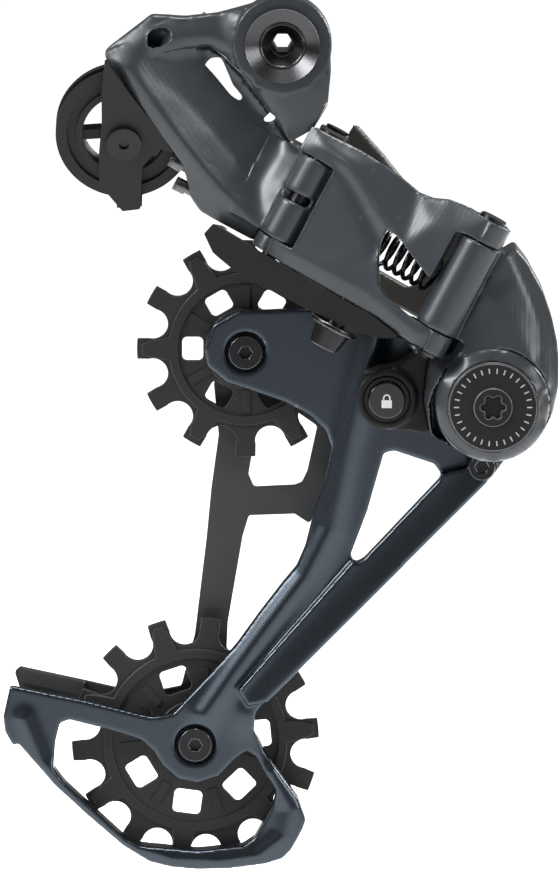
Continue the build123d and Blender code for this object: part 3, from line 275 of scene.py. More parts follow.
PULLEY_NYLON = Finish("pulley_nylon", "pulley_nylon", (0.020, 0.020, 0.021), 0.38, 0.0, Grain.MOULDED, 1800.0,
                      edge_wear_highlight_colour=(0.06, 0.06, 0.065), edge_wear_highlight_amount=0.6, specular=0.2)
BLACK_STEEL = Finish("black_steel", "dark_bolt", (0.022, 0.022, 0.024), 0.30, 0.8, Grain.TURNED,
                     edge_wear_highlight_colour=(0.2, 0.2, 0.2), edge_wear_highlight_amount=0.6)
SPRING_STEEL = Finish("spring_steel", "dark_bolt", (0.010, 0.010, 0.011), 0.20, 0.7)
GUNMETAL = Finish("gunmetal", "gunmetal_bolt", (0.060, 0.060, 0.063), 0.30, 1.0, Grain.TURNED,
                  edge_wear_highlight_colour=(0.45, 0.45, 0.46), edge_wear_highlight_amount=0.5, anisotropy=0.5)
BRIGHT_STEEL = Finish("bright_steel", "bright_steel", (0.30, 0.30, 0.31), 0.26, 1.0, Grain.BRUSHED)
SCREW_STEEL = Finish("screw_steel", "bright_steel", (0.12, 0.12, 0.125), 0.30, 1.0, Grain.BRUSHED,
                     edge_wear_highlight_colour=(0.3, 0.3, 0.3), edge_wear_highlight_amount=0.5)
BRONZE = Finish("bronze", "bush_bronze", (0.42, 0.27, 0.12), 0.4, 1.0, Grain.TURNED)
SEAL_RUBBER = Finish("seal_rubber", "seal_rubber", (0.010, 0.010, 0.010), 0.6, 0.0, Grain.MOULDED)


# ------------------------------------------------------------------ mesh tools
def new_object(name: str, mesh: bpy.types.Mesh, finish: Finish) -> bpy.types.Object:
    """Make an object with one material from a mesh.

    Args:
        name: The object's name.
        mesh: Its mesh, in metres.
        finish: The finish it wears.

    Returns:
        The object, linked to the scene.
    """
    made = bpy.data.objects.new(name, mesh)
    bpy.context.scene.collection.objects.link(made)
    mesh.materials.clear()
    mesh.materials.append(finish.material())
    return made


def baked(thing: bpy.types.Object) -> bpy.types.Object:
    """Apply an object's modifiers by replacing its mesh with the evaluated one.

    Args:
        thing: The object with live modifiers.

    Returns:
        The same object, with a plain mesh.
    """
    evaluated = thing.evaluated_get(bpy.context.evaluated_depsgraph_get())
    mesh = bpy.data.meshes.new_from_object(evaluated)
    thing.modifiers.clear()
    old = thing.data
    thing.data = mesh
    bpy.data.meshes.remove(old)
    return thing


def smooth_shaded(thing: bpy.types.Object, angle: float = 35.0) -> bpy.types.Object:
    """Shade smooth, with edges sharper than an angle kept crisp.

    Args:
        thing: The object to shade.
        angle: The largest smooth angle, in degrees.

    Returns:
        The same object.
    """
    mesh = thing.data
    mesh.shade_smooth()
    shell = bmesh.new()
    shell.from_mesh(mesh)
    for edge in shell.edges:
        edge.smooth = len(edge.link_faces) == 2 and edge.calc_face_angle(0.0) < math.radians(angle)
    shell.to_mesh(mesh)
    shell.free()
    return thing


def cad_copy(name: str, nodes: list[str], finish: Finish) -> bpy.types.Object:
    """Copy CAD nodes into one welded mesh.

    Args:
        name: The new object's name.
        nodes: The CAD nodes to copy.
        finish: The finish it wears.

    Returns:
        The new object.
    """
    joined = bmesh.new()
    for node in nodes:
        joined.from_mesh(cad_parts[node].data)
    bmesh.ops.remove_doubles(joined, verts=joined.verts, dist=0.000002)
    mesh = bpy.data.meshes.new(name)
    joined.to_mesh(mesh)
    joined.free()
    return new_object(name, mesh, finish)


def bevelled(name: str, nodes: list[str], finish: Finish, width: float, segments: int = 2,
             limit: float = 28.0, edge: Finish | None = None) -> bpy.types.Object:
    """Copy CAD nodes and break their sharp edges.

    Args:
        name: The new object's name.
        nodes: The CAD nodes to copy.
        finish: The finish it wears.
        width: The bevel's width in millimetres.
        segments: The bevel's steps.
        limit: The smallest edge angle that is broken, in degrees.
        edge: The finish of the broken edges, where it differs; otherwise a lighter copy of the finish,
            painted as a highlight.

    Returns:
        The new object.
    """
    thing = cad_copy(name, nodes, finish)
    flat = thing.modifiers.new("flat", "DECIMATE")
    flat.decimate_type = "DISSOLVE"
    flat.angle_limit = math.radians(1.0)
    bevel = thing.modifiers.new("bevel", "BEVEL")
    bevel.width = width * MM
    bevel.segments = segments
    bevel.limit_method = "ANGLE"
    bevel.angle_limit = math.radians(limit)
    # The bevel faces take the lighter edge finish: a painted highlight along the edges.
    bevel.material = 1
    thing.data.materials.append((edge or finish.edge_highlight_finish()).material())
    smooth_shaded(baked(thing), 50.0)
    weigh = thing.modifiers.new("weigh", "WEIGHTED_NORMAL")
    weigh.keep_sharp = True
    return baked(thing)


def side_place() -> Matrix:
    """Matrix from (x, z, height outboard) to the frame, for shapes drawn from outboard."""
    return Matrix(((1, 0, 0), (0, 0, -1), (0, 1, 0))).to_4x4()


def link_place(pin: Flat) -> Matrix:
    """Matrix from (along the link, up the pin, outboard) to the frame.

    Args:
        pin: The pin that the link hangs on.

    Returns:
        The matrix, in millimetres.
    """
    origin = ALONG * pin[0] + INBOARD * pin[1]
    turn = Matrix((LINK_DIR, UP_PIN, LINK_OUT)).transposed().to_4x4()
    return Matrix.Translation(origin) @ turn


def to_object(name: str, solid: bmesh.types.BMesh, finish: Finish) -> bpy.types.Object:
    """Turn a bmesh into an object and free it.

    Args:
        name: The object's name.
        solid: The mesh in metres.
        finish: The finish it wears.

    Returns:
        The object.
    """
    mesh = bpy.data.meshes.new(name)
    solid.to_mesh(mesh)
    solid.free()
    return new_object(name, mesh, finish)


def joined(name: str, parts: list[bpy.types.Object], finish: Finish) -> bpy.types.Object:
    """Put several objects' meshes into one object and remove them.

    Args:
        name: The new object's name.
        parts: The objects to join.
        finish: The finish it wears.

    Returns:
        The new object.
    """
    whole = bmesh.new()
    for part in parts:
        whole.from_mesh(part.data)
        bpy.data.objects.remove(part)
    return to_object(name, whole, finish)


def prism(name: str, outline: list[Flat], near: float, far: float, place: Matrix,
          finish: Finish) -> bpy.types.Object:
    """A straight prism on a flat outline.

    Args:
        name: The prism's name.
        outline: Its outline.
        near: The height of one end.
        far: The height of the other end.
        place: The matrix that puts it in the frame.
        finish: The finish it wears.

    Returns:
        The prism.
    """
    edges = [(index, (index + 1) % len(outline)) for index in range(len(outline))]
    flat = [Vector(point) for point in outline]
    corners, _, faces, _, _, _ = delaunay_2d_cdt(flat, edges, [], 1, CDT_EPSILON)
    solid = bmesh.new()
    front = [solid.verts.new((place @ Vector((*corner, near))) * MM) for corner in corners]
    rear = [solid.verts.new((place @ Vector((*corner, far))) * MM) for corner in corners]
    for face in faces:
        solid.faces.new([front[index] for index in face])
        solid.faces.new([rear[index] for index in reversed(face)])
    rim = [edge for edge in solid.edges if len(edge.link_faces) == 1]
    bmesh.ops.bridge_loops(solid, edges=rim)
    bmesh.ops.recalc_face_normals(solid, faces=solid.faces)
    return to_object(name, solid, finish)


def settle(piece: bpy.types.Object, body: str, nodes: list[str]) -> None:
    """Tell the frame what a finished piece rides on and stands for.

    Args:
        piece: The finished piece.
        body: The CAD body it moves with.
        nodes: The CAD nodes it stands for.
    """
    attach(piece, body)
    if nodes:
        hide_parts(*nodes)
    LOG.info("%s rides %s, %d faces", piece.name, body, len(piece.data.polygons))


# ------------------------------------------------------------------ sculpting
@dataclass(frozen=True)
class Ridge:
    """A line along which a surface is raised, or sunk where the height is negative."""

    points: tuple[Flat, ...]
    width: float
    height: float

    def lift(self, x: float, y: float) -> float:
        """Height of the ridge's bell-shaped section at a point.

        Args:
            x: First flat coordinate.
            y: Second flat coordinate.

        Returns:
            The height there, in millimetres.
        """
        nearest = math.inf
        for (ax, ay), (bx, by) in zip(self.points, self.points[1:]):
            run = (bx - ax, by - ay)
            share = ((x - ax) * run[0] + (y - ay) * run[1]) / (run[0] ** 2 + run[1] ** 2)
            share = min(1.0, max(0.0, share))
            away = math.hypot(x - ax - share * run[0], y - ay - share * run[1])
            nearest = min(nearest, away)
        if nearest > RIDGE_FADE * self.width:
            return 0.0
        return self.height * math.exp(-(nearest / self.width) ** 2)


@dataclass(frozen=True)
class Relief:
    """The outboard surface of a casting: heights along its outline and its creases."""

    outline: tuple[Point, ...]
    creases: tuple[tuple[Point, ...], ...]
    lowest: float
    reach: float = 3.0

    def heights(self, spots: np.ndarray) -> np.ndarray:
        """Read the surface's height at many spots.

        Args:
            spots: Flat coordinates, one row each.

        Returns:
            The heights, not a number outside the outline.
        """
        points = list(self.outline)
        edges = [(index, (index + 1) % len(points)) for index in range(len(points))]
        for line in self.creases:
            start = len(points)
            points.extend(line)
            edges.extend((start + step, start + step + 1) for step in range(len(line) - 1))
        corners, _, faces, origins, _, _ = delaunay_2d_cdt(
            [Vector(point[:2]) for point in points], edges, [], 1, CDT_EPSILON)
        known = []
        for corner, origin in zip(corners, origins):
            if origin:
                known.append(points[origin[0]][2])
                continue
            nearest = min(((Vector(point[:2]) - corner).length, point[2]) for point in points)
            known.append(nearest[1])
        result = np.full(len(spots), np.nan)
        for first, second, third in faces:
            origin = corners[first]
            along = corners[second] - origin
            across = corners[third] - origin
            area = along.x * across.y - along.y * across.x
            if abs(area) < SLIVER_AREA:
                continue
            away = spots - np.array(origin)
            right = (away[:, 0] * across.y - away[:, 1] * across.x) / area
            up = (along.x * away[:, 1] - along.y * away[:, 0]) / area
            inside = (right >= -EDGE_SLACK) & (up >= -EDGE_SLACK) & (right + up <= 1 + EDGE_SLACK)
            base = known[first]
            height = base + right * (known[second] - base) + up * (known[third] - base)
            result[inside] = height[inside]
        return result


@dataclass(frozen=True)
class Casting:
    """A cast or forged part: a CAD node remeshed, carved to a relief and softened."""

    node: str
    body: str
    finish: Finish
    place: Matrix
    relief: Relief | None = None
    ridges: tuple[Ridge, ...] = ()
    voxel: float = 0.5
    rounds: int = 4
    blur: int = 30

    def build(self) -> bpy.types.Object:
        """Make the part's piece.

        Returns:
            The finished piece, riding its body.
        """
        thing = cad_copy(self.node + "_cast", [self.node], self.finish)
        remesh = thing.modifiers.new("remesh", "REMESH")
        remesh.mode = "VOXEL"
        remesh.voxel_size = self.voxel * MM
        baked(thing)
        self._sculpt(thing)
        smooth = thing.modifiers.new("smooth", "SMOOTH")
        smooth.factor = 0.5
        smooth.iterations = self.rounds
        baked(thing)
        thing.data.materials.clear()
        thing.data.materials.append(self.finish.material())
        thing.data.shade_smooth()
        settle(thing, self.body, [self.node])
        return thing

    def _blur(self, mesh: bpy.types.Mesh, spots: np.ndarray, top: np.ndarray) -> None:
        """Soften the relief's creases by averaging heights between neighbours.

        Args:
            mesh: The mesh whose edges say which vertices are neighbours.
            spots: The vertices' coordinates, changed in place.
            top: Which vertices lie on the relief.
        """
        pairs = np.empty(len(mesh.edges) * 2, dtype=np.int64)
        mesh.edges.foreach_get("vertices", pairs)
        pairs = pairs.reshape(-1, 2)
        pairs = pairs[top[pairs[:, 0]] & top[pairs[:, 1]]]
        count = np.bincount(pairs.ravel(), minlength=len(spots))
        linked = top & (count > 2)
        for _ in range(self.blur):
            total = np.bincount(pairs[:, 0], weights=spots[pairs[:, 1], 2], minlength=len(spots))
            total += np.bincount(pairs[:, 1], weights=spots[pairs[:, 0], 2], minlength=len(spots))
            kept = (1 - BLUR_SHARE) * spots[linked, 2]
            spots[linked, 2] = kept + BLUR_SHARE * total[linked] / count[linked]

    def _sculpt(self, thing: bpy.types.Object) -> None:
        """Bring the outboard surface to the relief, then add the ridges.

        Args:
            thing: The remeshed part.
        """
        mesh = thing.data
        inverse = np.array(self.place.inverted())
        place = np.array(self.place)
        spots = np.empty(len(mesh.vertices) * 3)
        mesh.vertices.foreach_get("co", spots)
        spots = spots.reshape(-1, 3) / MM @ inverse[:3, :3].T + inverse[:3, 3]
        normals = np.empty(len(mesh.vertices) * 3)
        mesh.vertices.foreach_get("normal", normals)
        facing = normals.reshape(-1, 3) @ place[:3, 2]
        if self.relief:
            heights = self.relief.heights(spots[:, :2])
            inside = ~np.isnan(heights) & (spots[:, 2] > self.relief.lowest)
            top = inside & (facing > RELIEF_FACING) & (heights - spots[:, 2] < self.relief.reach)
            proud = inside & (spots[:, 2] > heights)
            spots[top | proud, 2] = heights[top | proud]
            self._blur(mesh, spots, top)
        for ridge in self.ridges:
            lift = np.array([ridge.lift(x, y) if face > RIDGE_FACING else 0.0
                             for (x, y, _), face in zip(spots, facing)])
            spots[:, 2] += lift
        spots = (spots @ place[:3, :3].T + place[:3, 3]) * MM
        mesh.vertices.foreach_set("co", spots.ravel())
        mesh.update()


def ring(centre: Flat, radius: float, height: float, steps: int = 32) -> tuple[Point, ...]:
    """A closed crease round a centre.

    Args:
        centre: The middle.
        radius: The ring's radius.
        height: Its height.
        steps: How many points it has.

    Returns:
        The points, the first repeated at the end.
    """
    turns = [2 * math.pi * step / steps for step in range(steps + 1)]
    return tuple((centre[0] + radius * math.cos(turn), centre[1] + radius * math.sin(turn), height)
                 for turn in turns)


B_RELIEF = Relief(
    outline=((-9.5, 10.5, 10.5), (-16.5, 8.6, 10.0), (-24.5, 7.8, 9.8), (-33.0, 8.3, 9.5),
              (-45.2, -1.0, 10.0),
             (-46.2, -2.8, 11.0), (-40.4, -11.5, 11.4), (-35.4, -18.1, 10.9), (-30.4, -25.2, 10.2),
             (-26.5, -30.5, 9.7), (-25.3, -33.8, 9.1), (-24.5, -39.2, 7.8), (-21.1, -44.0, 7.3),
             (-16.6, -46.3, 8.0), (-8.8, -50.3, 8.8), (-7.0, -49.5, 10.0), (-5.5, -46.6, 13.5),
             (5.0, -26.9, 12.8), (8.6, -22.5, 12.4), (12.4, -16.2, 12.8), (13.4, -6.4, 13.6),
             (10.9, -6.3, 13.9),
             (6.3, -10.9, 13.9), (0.0, -12.6, 13.9), (-6.3, -10.9, 13.9), (-10.9, -6.3, 13.9),
             (-12.6, 0.0, 13.9),
             (-10.9, 6.3, 13.8)),
    creases=(((-39.0, -5.4, 14.9), (-33.5, -13.5, 14.3), (-27.0, -22.5, 13.9), (-21.5, -29.6, 13.5),
              (-15.5, -36.6, 13.1), (-9.5, -42.2, 12.9), (-6.0, -45.5, 13.3)),
             ((-33.0, -7.8, 12.4), (-25.0, -14.0, 10.0), (-17.0, -23.0, 8.4), (-10.0, -31.5, 7.8),
              (-6.5, -37.5, 9.6)),
             ((-29.0, -2.9, 10.6), (-18.5, -1.5, 7.4), (-14.9, -4.4, 6.2), (-10.3, -9.1, 5.5),
             (-5.3, -16.1, 5.3),
              (-1.3, -21.2, 5.6), (1.2, -25.4, 6.8), (2.6, -27.4, 8.5)),
             ((-41.0, -2.6, 12.6), (-35.0, -1.8, 12.8), (-27.5, -0.6, 12.6), (-18.5, 0.5, 12.2),
              (-13.9, -2.8, 12.6), (-9.2, -8.0, 13.4), (-4.2, -15.2, 13.2), (-0.3, -20.2, 12.8),
              (1.9, -24.6, 12.4), (3.6, -26.8, 12.0)),
             ((-14.0, 1.0, 12.6), (-20.0, 3.8, 12.2), (-27.0, 3.4, 12.4), (-34.0, 2.0, 12.8)),
             ((7.6, -20.0, 12.7), (10.0, -14.5, 13.2), (11.2, -9.0, 13.7))),
    lowest=3.5, reach=1.8)
LINK_RELIEF = Relief(
    outline=((-5.8, -13.4, 3.5), (9.2, -12.8, 3.0), (17.1, -13.4, 2.8), (23.3, -14.2, 2.4),
              (27.0, -15.2, 2.2),
             (30.5, -14.6, 2.4), (35.7, -12.4, 3.0), (39.8, -11.9, 3.4), (48.0, -12.2, 4.5),
             (48.0, -19.8, 5.2),
             (42.0, -20.4, 5.6), (42.0, -34.0, 6.0), (42.0, -43.6, 4.8), (48.0, -43.8, 4.6),
             (48.0, -50.6, 3.2),
             (33.0, -49.2, 3.0), (4.5, -49.4, 3.0), (-0.8, -48.8, 3.0), (-0.8, -43.8, 4.0), (6.0, -43.4, 5.2),
             (6.0, -21.6, 5.0), (-0.8, -21.4, 4.5), (-5.8, -21.4, 4.0)),
    creases=(((1.0, -17.2, 5.6), (7.2, -18.1, 6.2), (19.8, -24.2, 6.4), (31.0, -29.2, 6.4),
               (41.6, -33.4, 6.4)),
             ((6.6, -20.9, 4.4), (10.5, -22.1, 4.0), (23.0, -30.2, 3.8), (24.4, -31.5, 3.8)),
             ((6.4, -23.0, 5.0), (10.0, -24.2, 5.0), (22.6, -33.6, 5.0), (25.6, -37.0, 5.0)),
             ((6.3, -44.6, 5.4), (16.0, -44.6, 5.4), (27.0, -44.0, 5.3), (31.1, -45.1, 5.2),
             (41.0, -46.6, 5.0),
              (47.0, -47.0, 4.8)),
             ((35.0, -20.5, 5.6), (41.5, -18.5, 5.4))),
    lowest=1.6)
P_RELIEF = Relief(
    outline=((54.8, -50.0, 27.0), (58.9, -49.3, 24.0), (62.7, -53.8, 21.5), (66.6, -61.1, 20.3),
             (69.0, -68.2, 19.6), (70.3, -74.3, 19.2), (70.8, -80.0, 19.0), (70.6, -86.3, 19.0),
             (69.1, -93.1, 19.2), (66.3, -98.2, 19.6), (62.3, -102.1, 20.2), (58.3, -104.4, 21.0),
             (53.8, -105.2, 21.0), (48.3, -104.6, 21.0), (43.9, -103.2, 19.5), (36.6, -99.4, 13.5),
             (34.8, -90.0, 12.5), (36.0, -79.2, 13.5), (41.8, -78.0, 18.0), (43.3, -72.7, 26.5)),
    creases=(((57.4, -52.8, 26.8), (60.0, -57.2, 26.0), (63.0, -63.5, 25.2), (65.2, -70.0, 24.6),
              (66.4, -75.8, 24.2), (67.0, -82.0, 24.0), (66.9, -87.5, 24.0), (65.8, -93.5, 24.2)),
             ((60.6, -54.2, 23.6), (64.4, -61.6, 22.2), (67.0, -68.6, 21.4), (68.5, -75.0, 21.0),
              (69.0, -81.0, 20.8), (68.9, -87.0, 20.8), (67.5, -92.9, 21.0)),
             ((50.5, -60.5, 28.0), (55.0, -63.6, 27.8), (59.0, -69.6, 27.4), (62.0, -76.4, 27.0)),
             ((46.4, -72.2, 27.6), (49.0, -74.2, 27.9), (53.0, -75.0, 28.2), (57.4, -76.0, 28.0),
              (61.4, -78.6, 27.6), (64.4, -82.6, 26.6)),
             ring(CAP_CENTRE, 12.4, 29.9), ring(CAP_CENTRE, 13.9, 28.2)),
    lowest=10.5, reach=8.0)


# ------------------------------------------------------------------ geometry nodes
class NodeShape:
    """A Geometry Nodes tree with named inputs, baked to a plain mesh."""

    def __init__(self, name: str, inputs: dict[str, str]) -> None:
        """Start the tree and its interface.

        Args:
            name: The tree's name.
            inputs: Socket type by input name.
        """
        self.tree = bpy.data.node_groups.new(name, "GeometryNodeTree")
        self.sockets = {}
        for label, kind in inputs.items():
            self.sockets[label] = self.tree.interface.new_socket(label, in_out="INPUT", socket_type=kind)
        self.tree.interface.new_socket("Geometry", in_out="OUTPUT", socket_type="NodeSocketGeometry")
        self.start = self.tree.nodes.new("NodeGroupInput")
        self.end = self.tree.nodes.new("NodeGroupOutput")

    def node(self, kind: str, **settings: str) -> bpy.types.Node:
        """Add a node with some settings.

        Args:
            kind: The node's type.
            **settings: Properties to set on it.

        Returns:
            The node.
        """
        made = self.tree.nodes.new(kind)
        for label, value in settings.items():
            setattr(made, label, value)
        return made

    def link(self, source: bpy.types.NodeSocket, target: bpy.types.NodeSocket) -> None:
        """Join two sockets."""
        self.tree.links.new(source, target)

    def close(self, shape: bpy.types.NodeSocket) -> None:
        """End the tree in Realize Instances and Set Material.

        Args:
            shape: The geometry that leaves the tree.
        """
        realize = self.node("GeometryNodeRealizeInstances")
        dress = self.node("GeometryNodeSetMaterial")
        self.link(shape, realize.inputs["Geometry"])
        self.link(realize.outputs["Geometry"], dress.inputs["Geometry"])
        self.link(self.start.outputs["Material"], dress.inputs["Material"])
        self.link(dress.outputs["Geometry"], self.end.inputs["Geometry"])

    def bake(self, name: str, finish: Finish, place: Matrix, **values: float) -> bpy.types.Object:
        """Run the tree and keep its result as a plain mesh.

        Args:
            name: The object's name.
            finish: The finish it wears.
            place: The matrix that puts the millimetre shape in the frame.
            **values: Input values by input name.

        Returns:
            The object.
        """
        thing = new_object(name, bpy.data.meshes.new(name), finish)
        modifier = thing.modifiers.new(name, "NODES")
        modifier.node_group = self.tree
        modifier[self.sockets["Material"].identifier] = finish.material()
        for label, value in values.items():
            modifier[self.sockets[label].identifier] = value
        baked(thing)
        thing.data.transform(Matrix.Scale(MM, 4) @ place)
        if place.determinant() < 0:
            thing.data.flip_normals()
        return thing


@dataclass(frozen=True)
class Coil:
    """Sizes of a wound spring, in millimetres."""

    turns: float
    radius: float
    height: float
    wire: float


class CoilTree(NodeShape):
    """A round wire wound into a spring, from z 0 upward."""

    def __init__(self) -> None:
        """Build the tree."""
        super().__init__("coil_spring", {"Turns": "NodeSocketFloat", "Radius": "NodeSocketFloat",
                                         "Height": "NodeSocketFloat", "Wire": "NodeSocketFloat",
                                         "Seed": "NodeSocketInt", "Material": "NodeSocketMaterial"})
        spiral = self.node("GeometryNodeCurveSpiral")
        spiral.inputs["Resolution"].default_value = 40
        self.link(self.start.outputs["Turns"], spiral.inputs["Rotations"])
        self.link(self.start.outputs["Radius"], spiral.inputs["Start Radius"])
        self.link(self.start.outputs["Radius"], spiral.inputs["End Radius"])
        self.link(self.start.outputs["Height"], spiral.inputs["Height"])
        section = self.node("GeometryNodeCurvePrimitiveCircle")
        section.inputs["Resolution"].default_value = 14
        self.link(self.start.outputs["Wire"], section.inputs["Radius"])
        sweep = self.node("GeometryNodeCurveToMesh")
        sweep.inputs["Fill Caps"].default_value = True
        self.link(spiral.outputs["Curve"], sweep.inputs["Curve"])
        self.link(section.outputs["Curve"], sweep.inputs["Profile Curve"])
        self.close(sweep.outputs["Mesh"])

    def wind(self, name: str, coil: Coil, seat: Vector) -> bpy.types.Object:
        """Wind a spring that runs outboard from its seat.

        Args:
            name: The object's name.
            coil: The spring's sizes.
            seat: The middle of its inboard end, in millimetres.

        Returns:
            The object.
        """
        return self.bake(name, SPRING_STEEL, stand(seat, -INBOARD), Turns=coil.turns, Radius=coil.radius,
                         Height=coil.height, Wire=coil.wire)


class RingTree(NodeShape):
    """Blocks set at equal steps round a circle, each turned to face outward."""

    def __init__(self) -> None:
        """Build the tree."""
        super().__init__("ring_of_blocks", {"Count": "NodeSocketInt", "Radius": "NodeSocketFloat",
                                            "Size": "NodeSocketVector", "Seed": "NodeSocketInt",
                                            "Material": "NodeSocketMaterial"})
        ring = self.node("GeometryNodeMeshCircle")
        self.link(self.start.outputs["Count"], ring.inputs["Vertices"])
        self.link(self.start.outputs["Radius"], ring.inputs["Radius"])
        block = self.node("GeometryNodeMeshCube")
        self.link(self.start.outputs["Size"], block.inputs["Size"])
        where = self.node("GeometryNodeInputPosition")
        face = self.node("FunctionNodeAlignRotationToVector", axis="X")
        self.link(where.outputs["Position"], face.inputs["Vector"])
        vary = self.node("FunctionNodeRandomValue", data_type="FLOAT")
        vary.inputs[2].default_value = 0.97
        vary.inputs[3].default_value = 1.0
        self.link(self.start.outputs["Seed"], vary.inputs["Seed"])
        copies = self.node("GeometryNodeInstanceOnPoints")
        self.link(ring.outputs["Mesh"], copies.inputs["Points"])
        self.link(block.outputs["Mesh"], copies.inputs["Instance"])
        self.link(face.outputs["Rotation"], copies.inputs["Rotation"])
        self.link(vary.outputs[1], copies.inputs["Scale"])
        self.close(copies.outputs["Instances"])


def stand(origin: Vector, axis: Vector, spin: float = 0.0) -> Matrix:
    """Matrix that stands a z-up shape on an axis.

    Args:
        origin: Where the shape's origin goes, in millimetres.
        axis: Where its z axis points.
        spin: Turn about the axis, in degrees.

    Returns:
        The matrix, in millimetres.
    """
    turn = axis.to_track_quat("Z", "Y").to_matrix().to_4x4()
    return Matrix.Translation(origin) @ turn @ Matrix.Rotation(math.radians(spin), 4, "Z")


# ------------------------------------------------------------------ sub-assemblies
@dataclass
class Edged:
    """CAD nodes whose sharp edges are broken."""

    name: str
    nodes: list[str]
    body: str
    finish: Finish
    width: float = 0.3
    segments: int = 2
    limit: float = 28.0
    edge: Finish | None = None

    def build(self) -> bpy.types.Object:
        """Make the piece.

        Returns:
            The finished piece, riding its body.
        """
        thing = bevelled(self.name, self.nodes, self.finish, self.width, self.segments, self.limit, self.edge)
        settle(thing, self.body, self.nodes)
        return thing


@dataclass
class BKnuckle:
    """The fixed casting with its hanger bolt, cable guide and adjusting screws."""

    edge: float = 0.35

    def build(self) -> None:
        """Make every piece of the sub-assembly."""
        Casting("b_knuckle", "b_knuckle", CAST_PAINT, side_place(), B_RELIEF).build()
        Edged("b_plate_edged", ["b_plate"], "b_knuckle", BLACK_STEEL, 0.2).build()
        Edged("cable_bracket_edged", ["cable_bracket"], "b_knuckle", BLACK_NYLON, self.edge).build()
        Edged("hanger_bolt_turned", ["hanger_bolt"], "hanger_bolt", GUNMETAL, 0.2).build()
        Edged("cable_wheel_edged", ["cable_wheel"], "cable_wheel", BLACK_NYLON, self.edge).build()
        for name in ("b_adjust_screw", "high_limit_screw", "low_limit_screw"):
            Edged(name + "_edged", [name], name, SCREW_STEEL, 0.12).build()


@dataclass
class Linkage:
    """The two links with their pins, the skid plate and the cable anchor."""

    def build(self) -> None:
        """Make every piece of the sub-assembly."""
        Casting("outer_link", "outer_link", CAST_PAINT, link_place(B_OUTER), LINK_RELIEF,
                voxel=0.4, rounds=3).build()
        Edged("skid_plate_edged", ["link_skid_plate"], "outer_link", SKID_NYLON, 0.5, 3).build()
        Edged("anchor_bolt_edged", ["cable_anchor_bolt"], "outer_link", BLACK_STEEL, 0.25).build()
        Edged("anchor_washer_edged", ["cable_anchor_washer"], "outer_link", BLACK_STEEL, 0.25).build()
        Casting("inner_link", "inner_link", LINK_ALLOY, link_place(B_INNER), voxel=0.45, rounds=3).build()


@dataclass
class PKnuckle:
    """The moving casting with its clutch cap, springs and cage lock."""

    cap_centre: Flat = CAP_CENTRE
    cap_front: float = 31.1
    tick_count: int = 30
    button_centre: Flat = (26.4, -90.0)
    button_front: float = 14.9
    tick_radius: float = 9.2
    tick_size: Point = (1.3, 0.32, 0.12)
    cage_coil: Coil = Coil(5.0, 8.6, 11.5, 0.95)
    cage_seat: float = -3.4
    lock_coil: Coil = Coil(3.0, 3.0, 2.85, 0.3)
    lock_seat: float = -7.0
    lock_anchor: float = 0.3
    lock_squeezed: float = 0.3

    def build(self, coils: CoilTree, rings: RingTree) -> None:
        """Make every piece of the sub-assembly.

        Args:
            coils: The tree that winds the springs.
            rings: The tree that sets the marks on the cap.
        """
        Casting("p_knuckle", "p_knuckle", CAST_PAINT, side_place(), P_RELIEF).build()
        Edged("clutch_cap_edged", ["clutch_cap"], "p_knuckle", CAP_CHARCOAL, 0.25).build()
        Casting("lock_housing", "p_knuckle", BLACK_NYLON, side_place(), voxel=0.35, rounds=3).build()
        Edged("lock_button_edged", ["lock_button"], "lock_button", BUTTON_GLOSS, 0.3, 3).build()
        settle(self._padlock(), "lock_button", [])
        settle(self._ticks(rings), "p_knuckle", [])
        cap_x, cap_z = self.cap_centre
        wound = coils.wind("cage_spring_coil", self.cage_coil, Vector((cap_x, self.cage_seat, cap_z)))
        settle(smooth_shaded(wound), "p_knuckle", ["cage_spring"])
        x, z = self.button_centre
        seat = Vector((x, self.lock_seat, z))
        light = coils.wind("lock_spring_coil", self.lock_coil, seat)
        settle(smooth_shaded(light), "p_knuckle", ["lock_spring"])
        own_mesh(light)

    def _padlock(self) -> bpy.types.Object:
        """The white padlock symbol on the lock button.

        Returns:
            The symbol, a thin raised mark.
        """
        x, z = self.button_centre
        z -= 0.3
        body = [(x - 1.3, z - 1.6), (x + 1.3, z - 1.6), (x + 1.3, z + 0.4), (x - 1.3, z + 0.4)]
        turns = [math.pi * step / 12 for step in range(13)]
        outer = [(x + 0.95 * math.cos(turn), z + 0.95 + 0.95 * math.sin(turn)) for turn in turns]
        inner = [(x + 0.6 * math.cos(turn), z + 0.95 + 0.6 * math.sin(turn)) for turn in reversed(turns)]
        shackle = [(x + 0.95, z + 0.45), *outer, (x - 0.95, z + 0.45), (x - 0.6, z + 0.45), *inner,
                   (x + 0.6, z + 0.45)]
        near, far = self.button_front + 0.08, self.button_front
        marks = [prism("lock_body", body, near, far, side_place(), WHITE_MARK),
                 prism("lock_shackle", shackle, near, far, side_place(), WHITE_MARK)]
        return joined("padlock_mark", marks, WHITE_MARK)

    def _ticks(self, rings: RingTree) -> bpy.types.Object:
        """A ring of plain ticks round the clutch cap.

        Args:
            rings: The tree that sets them.

        Returns:
            The ticks as one mesh.
        """
        centre = Vector((self.cap_centre[0], -self.cap_front, self.cap_centre[1]))
        return rings.bake("cap_ticks", CAP_MARK, stand(centre, -INBOARD), Count=self.tick_count,
                          Radius=self.tick_radius, Size=self.tick_size, Seed=5)


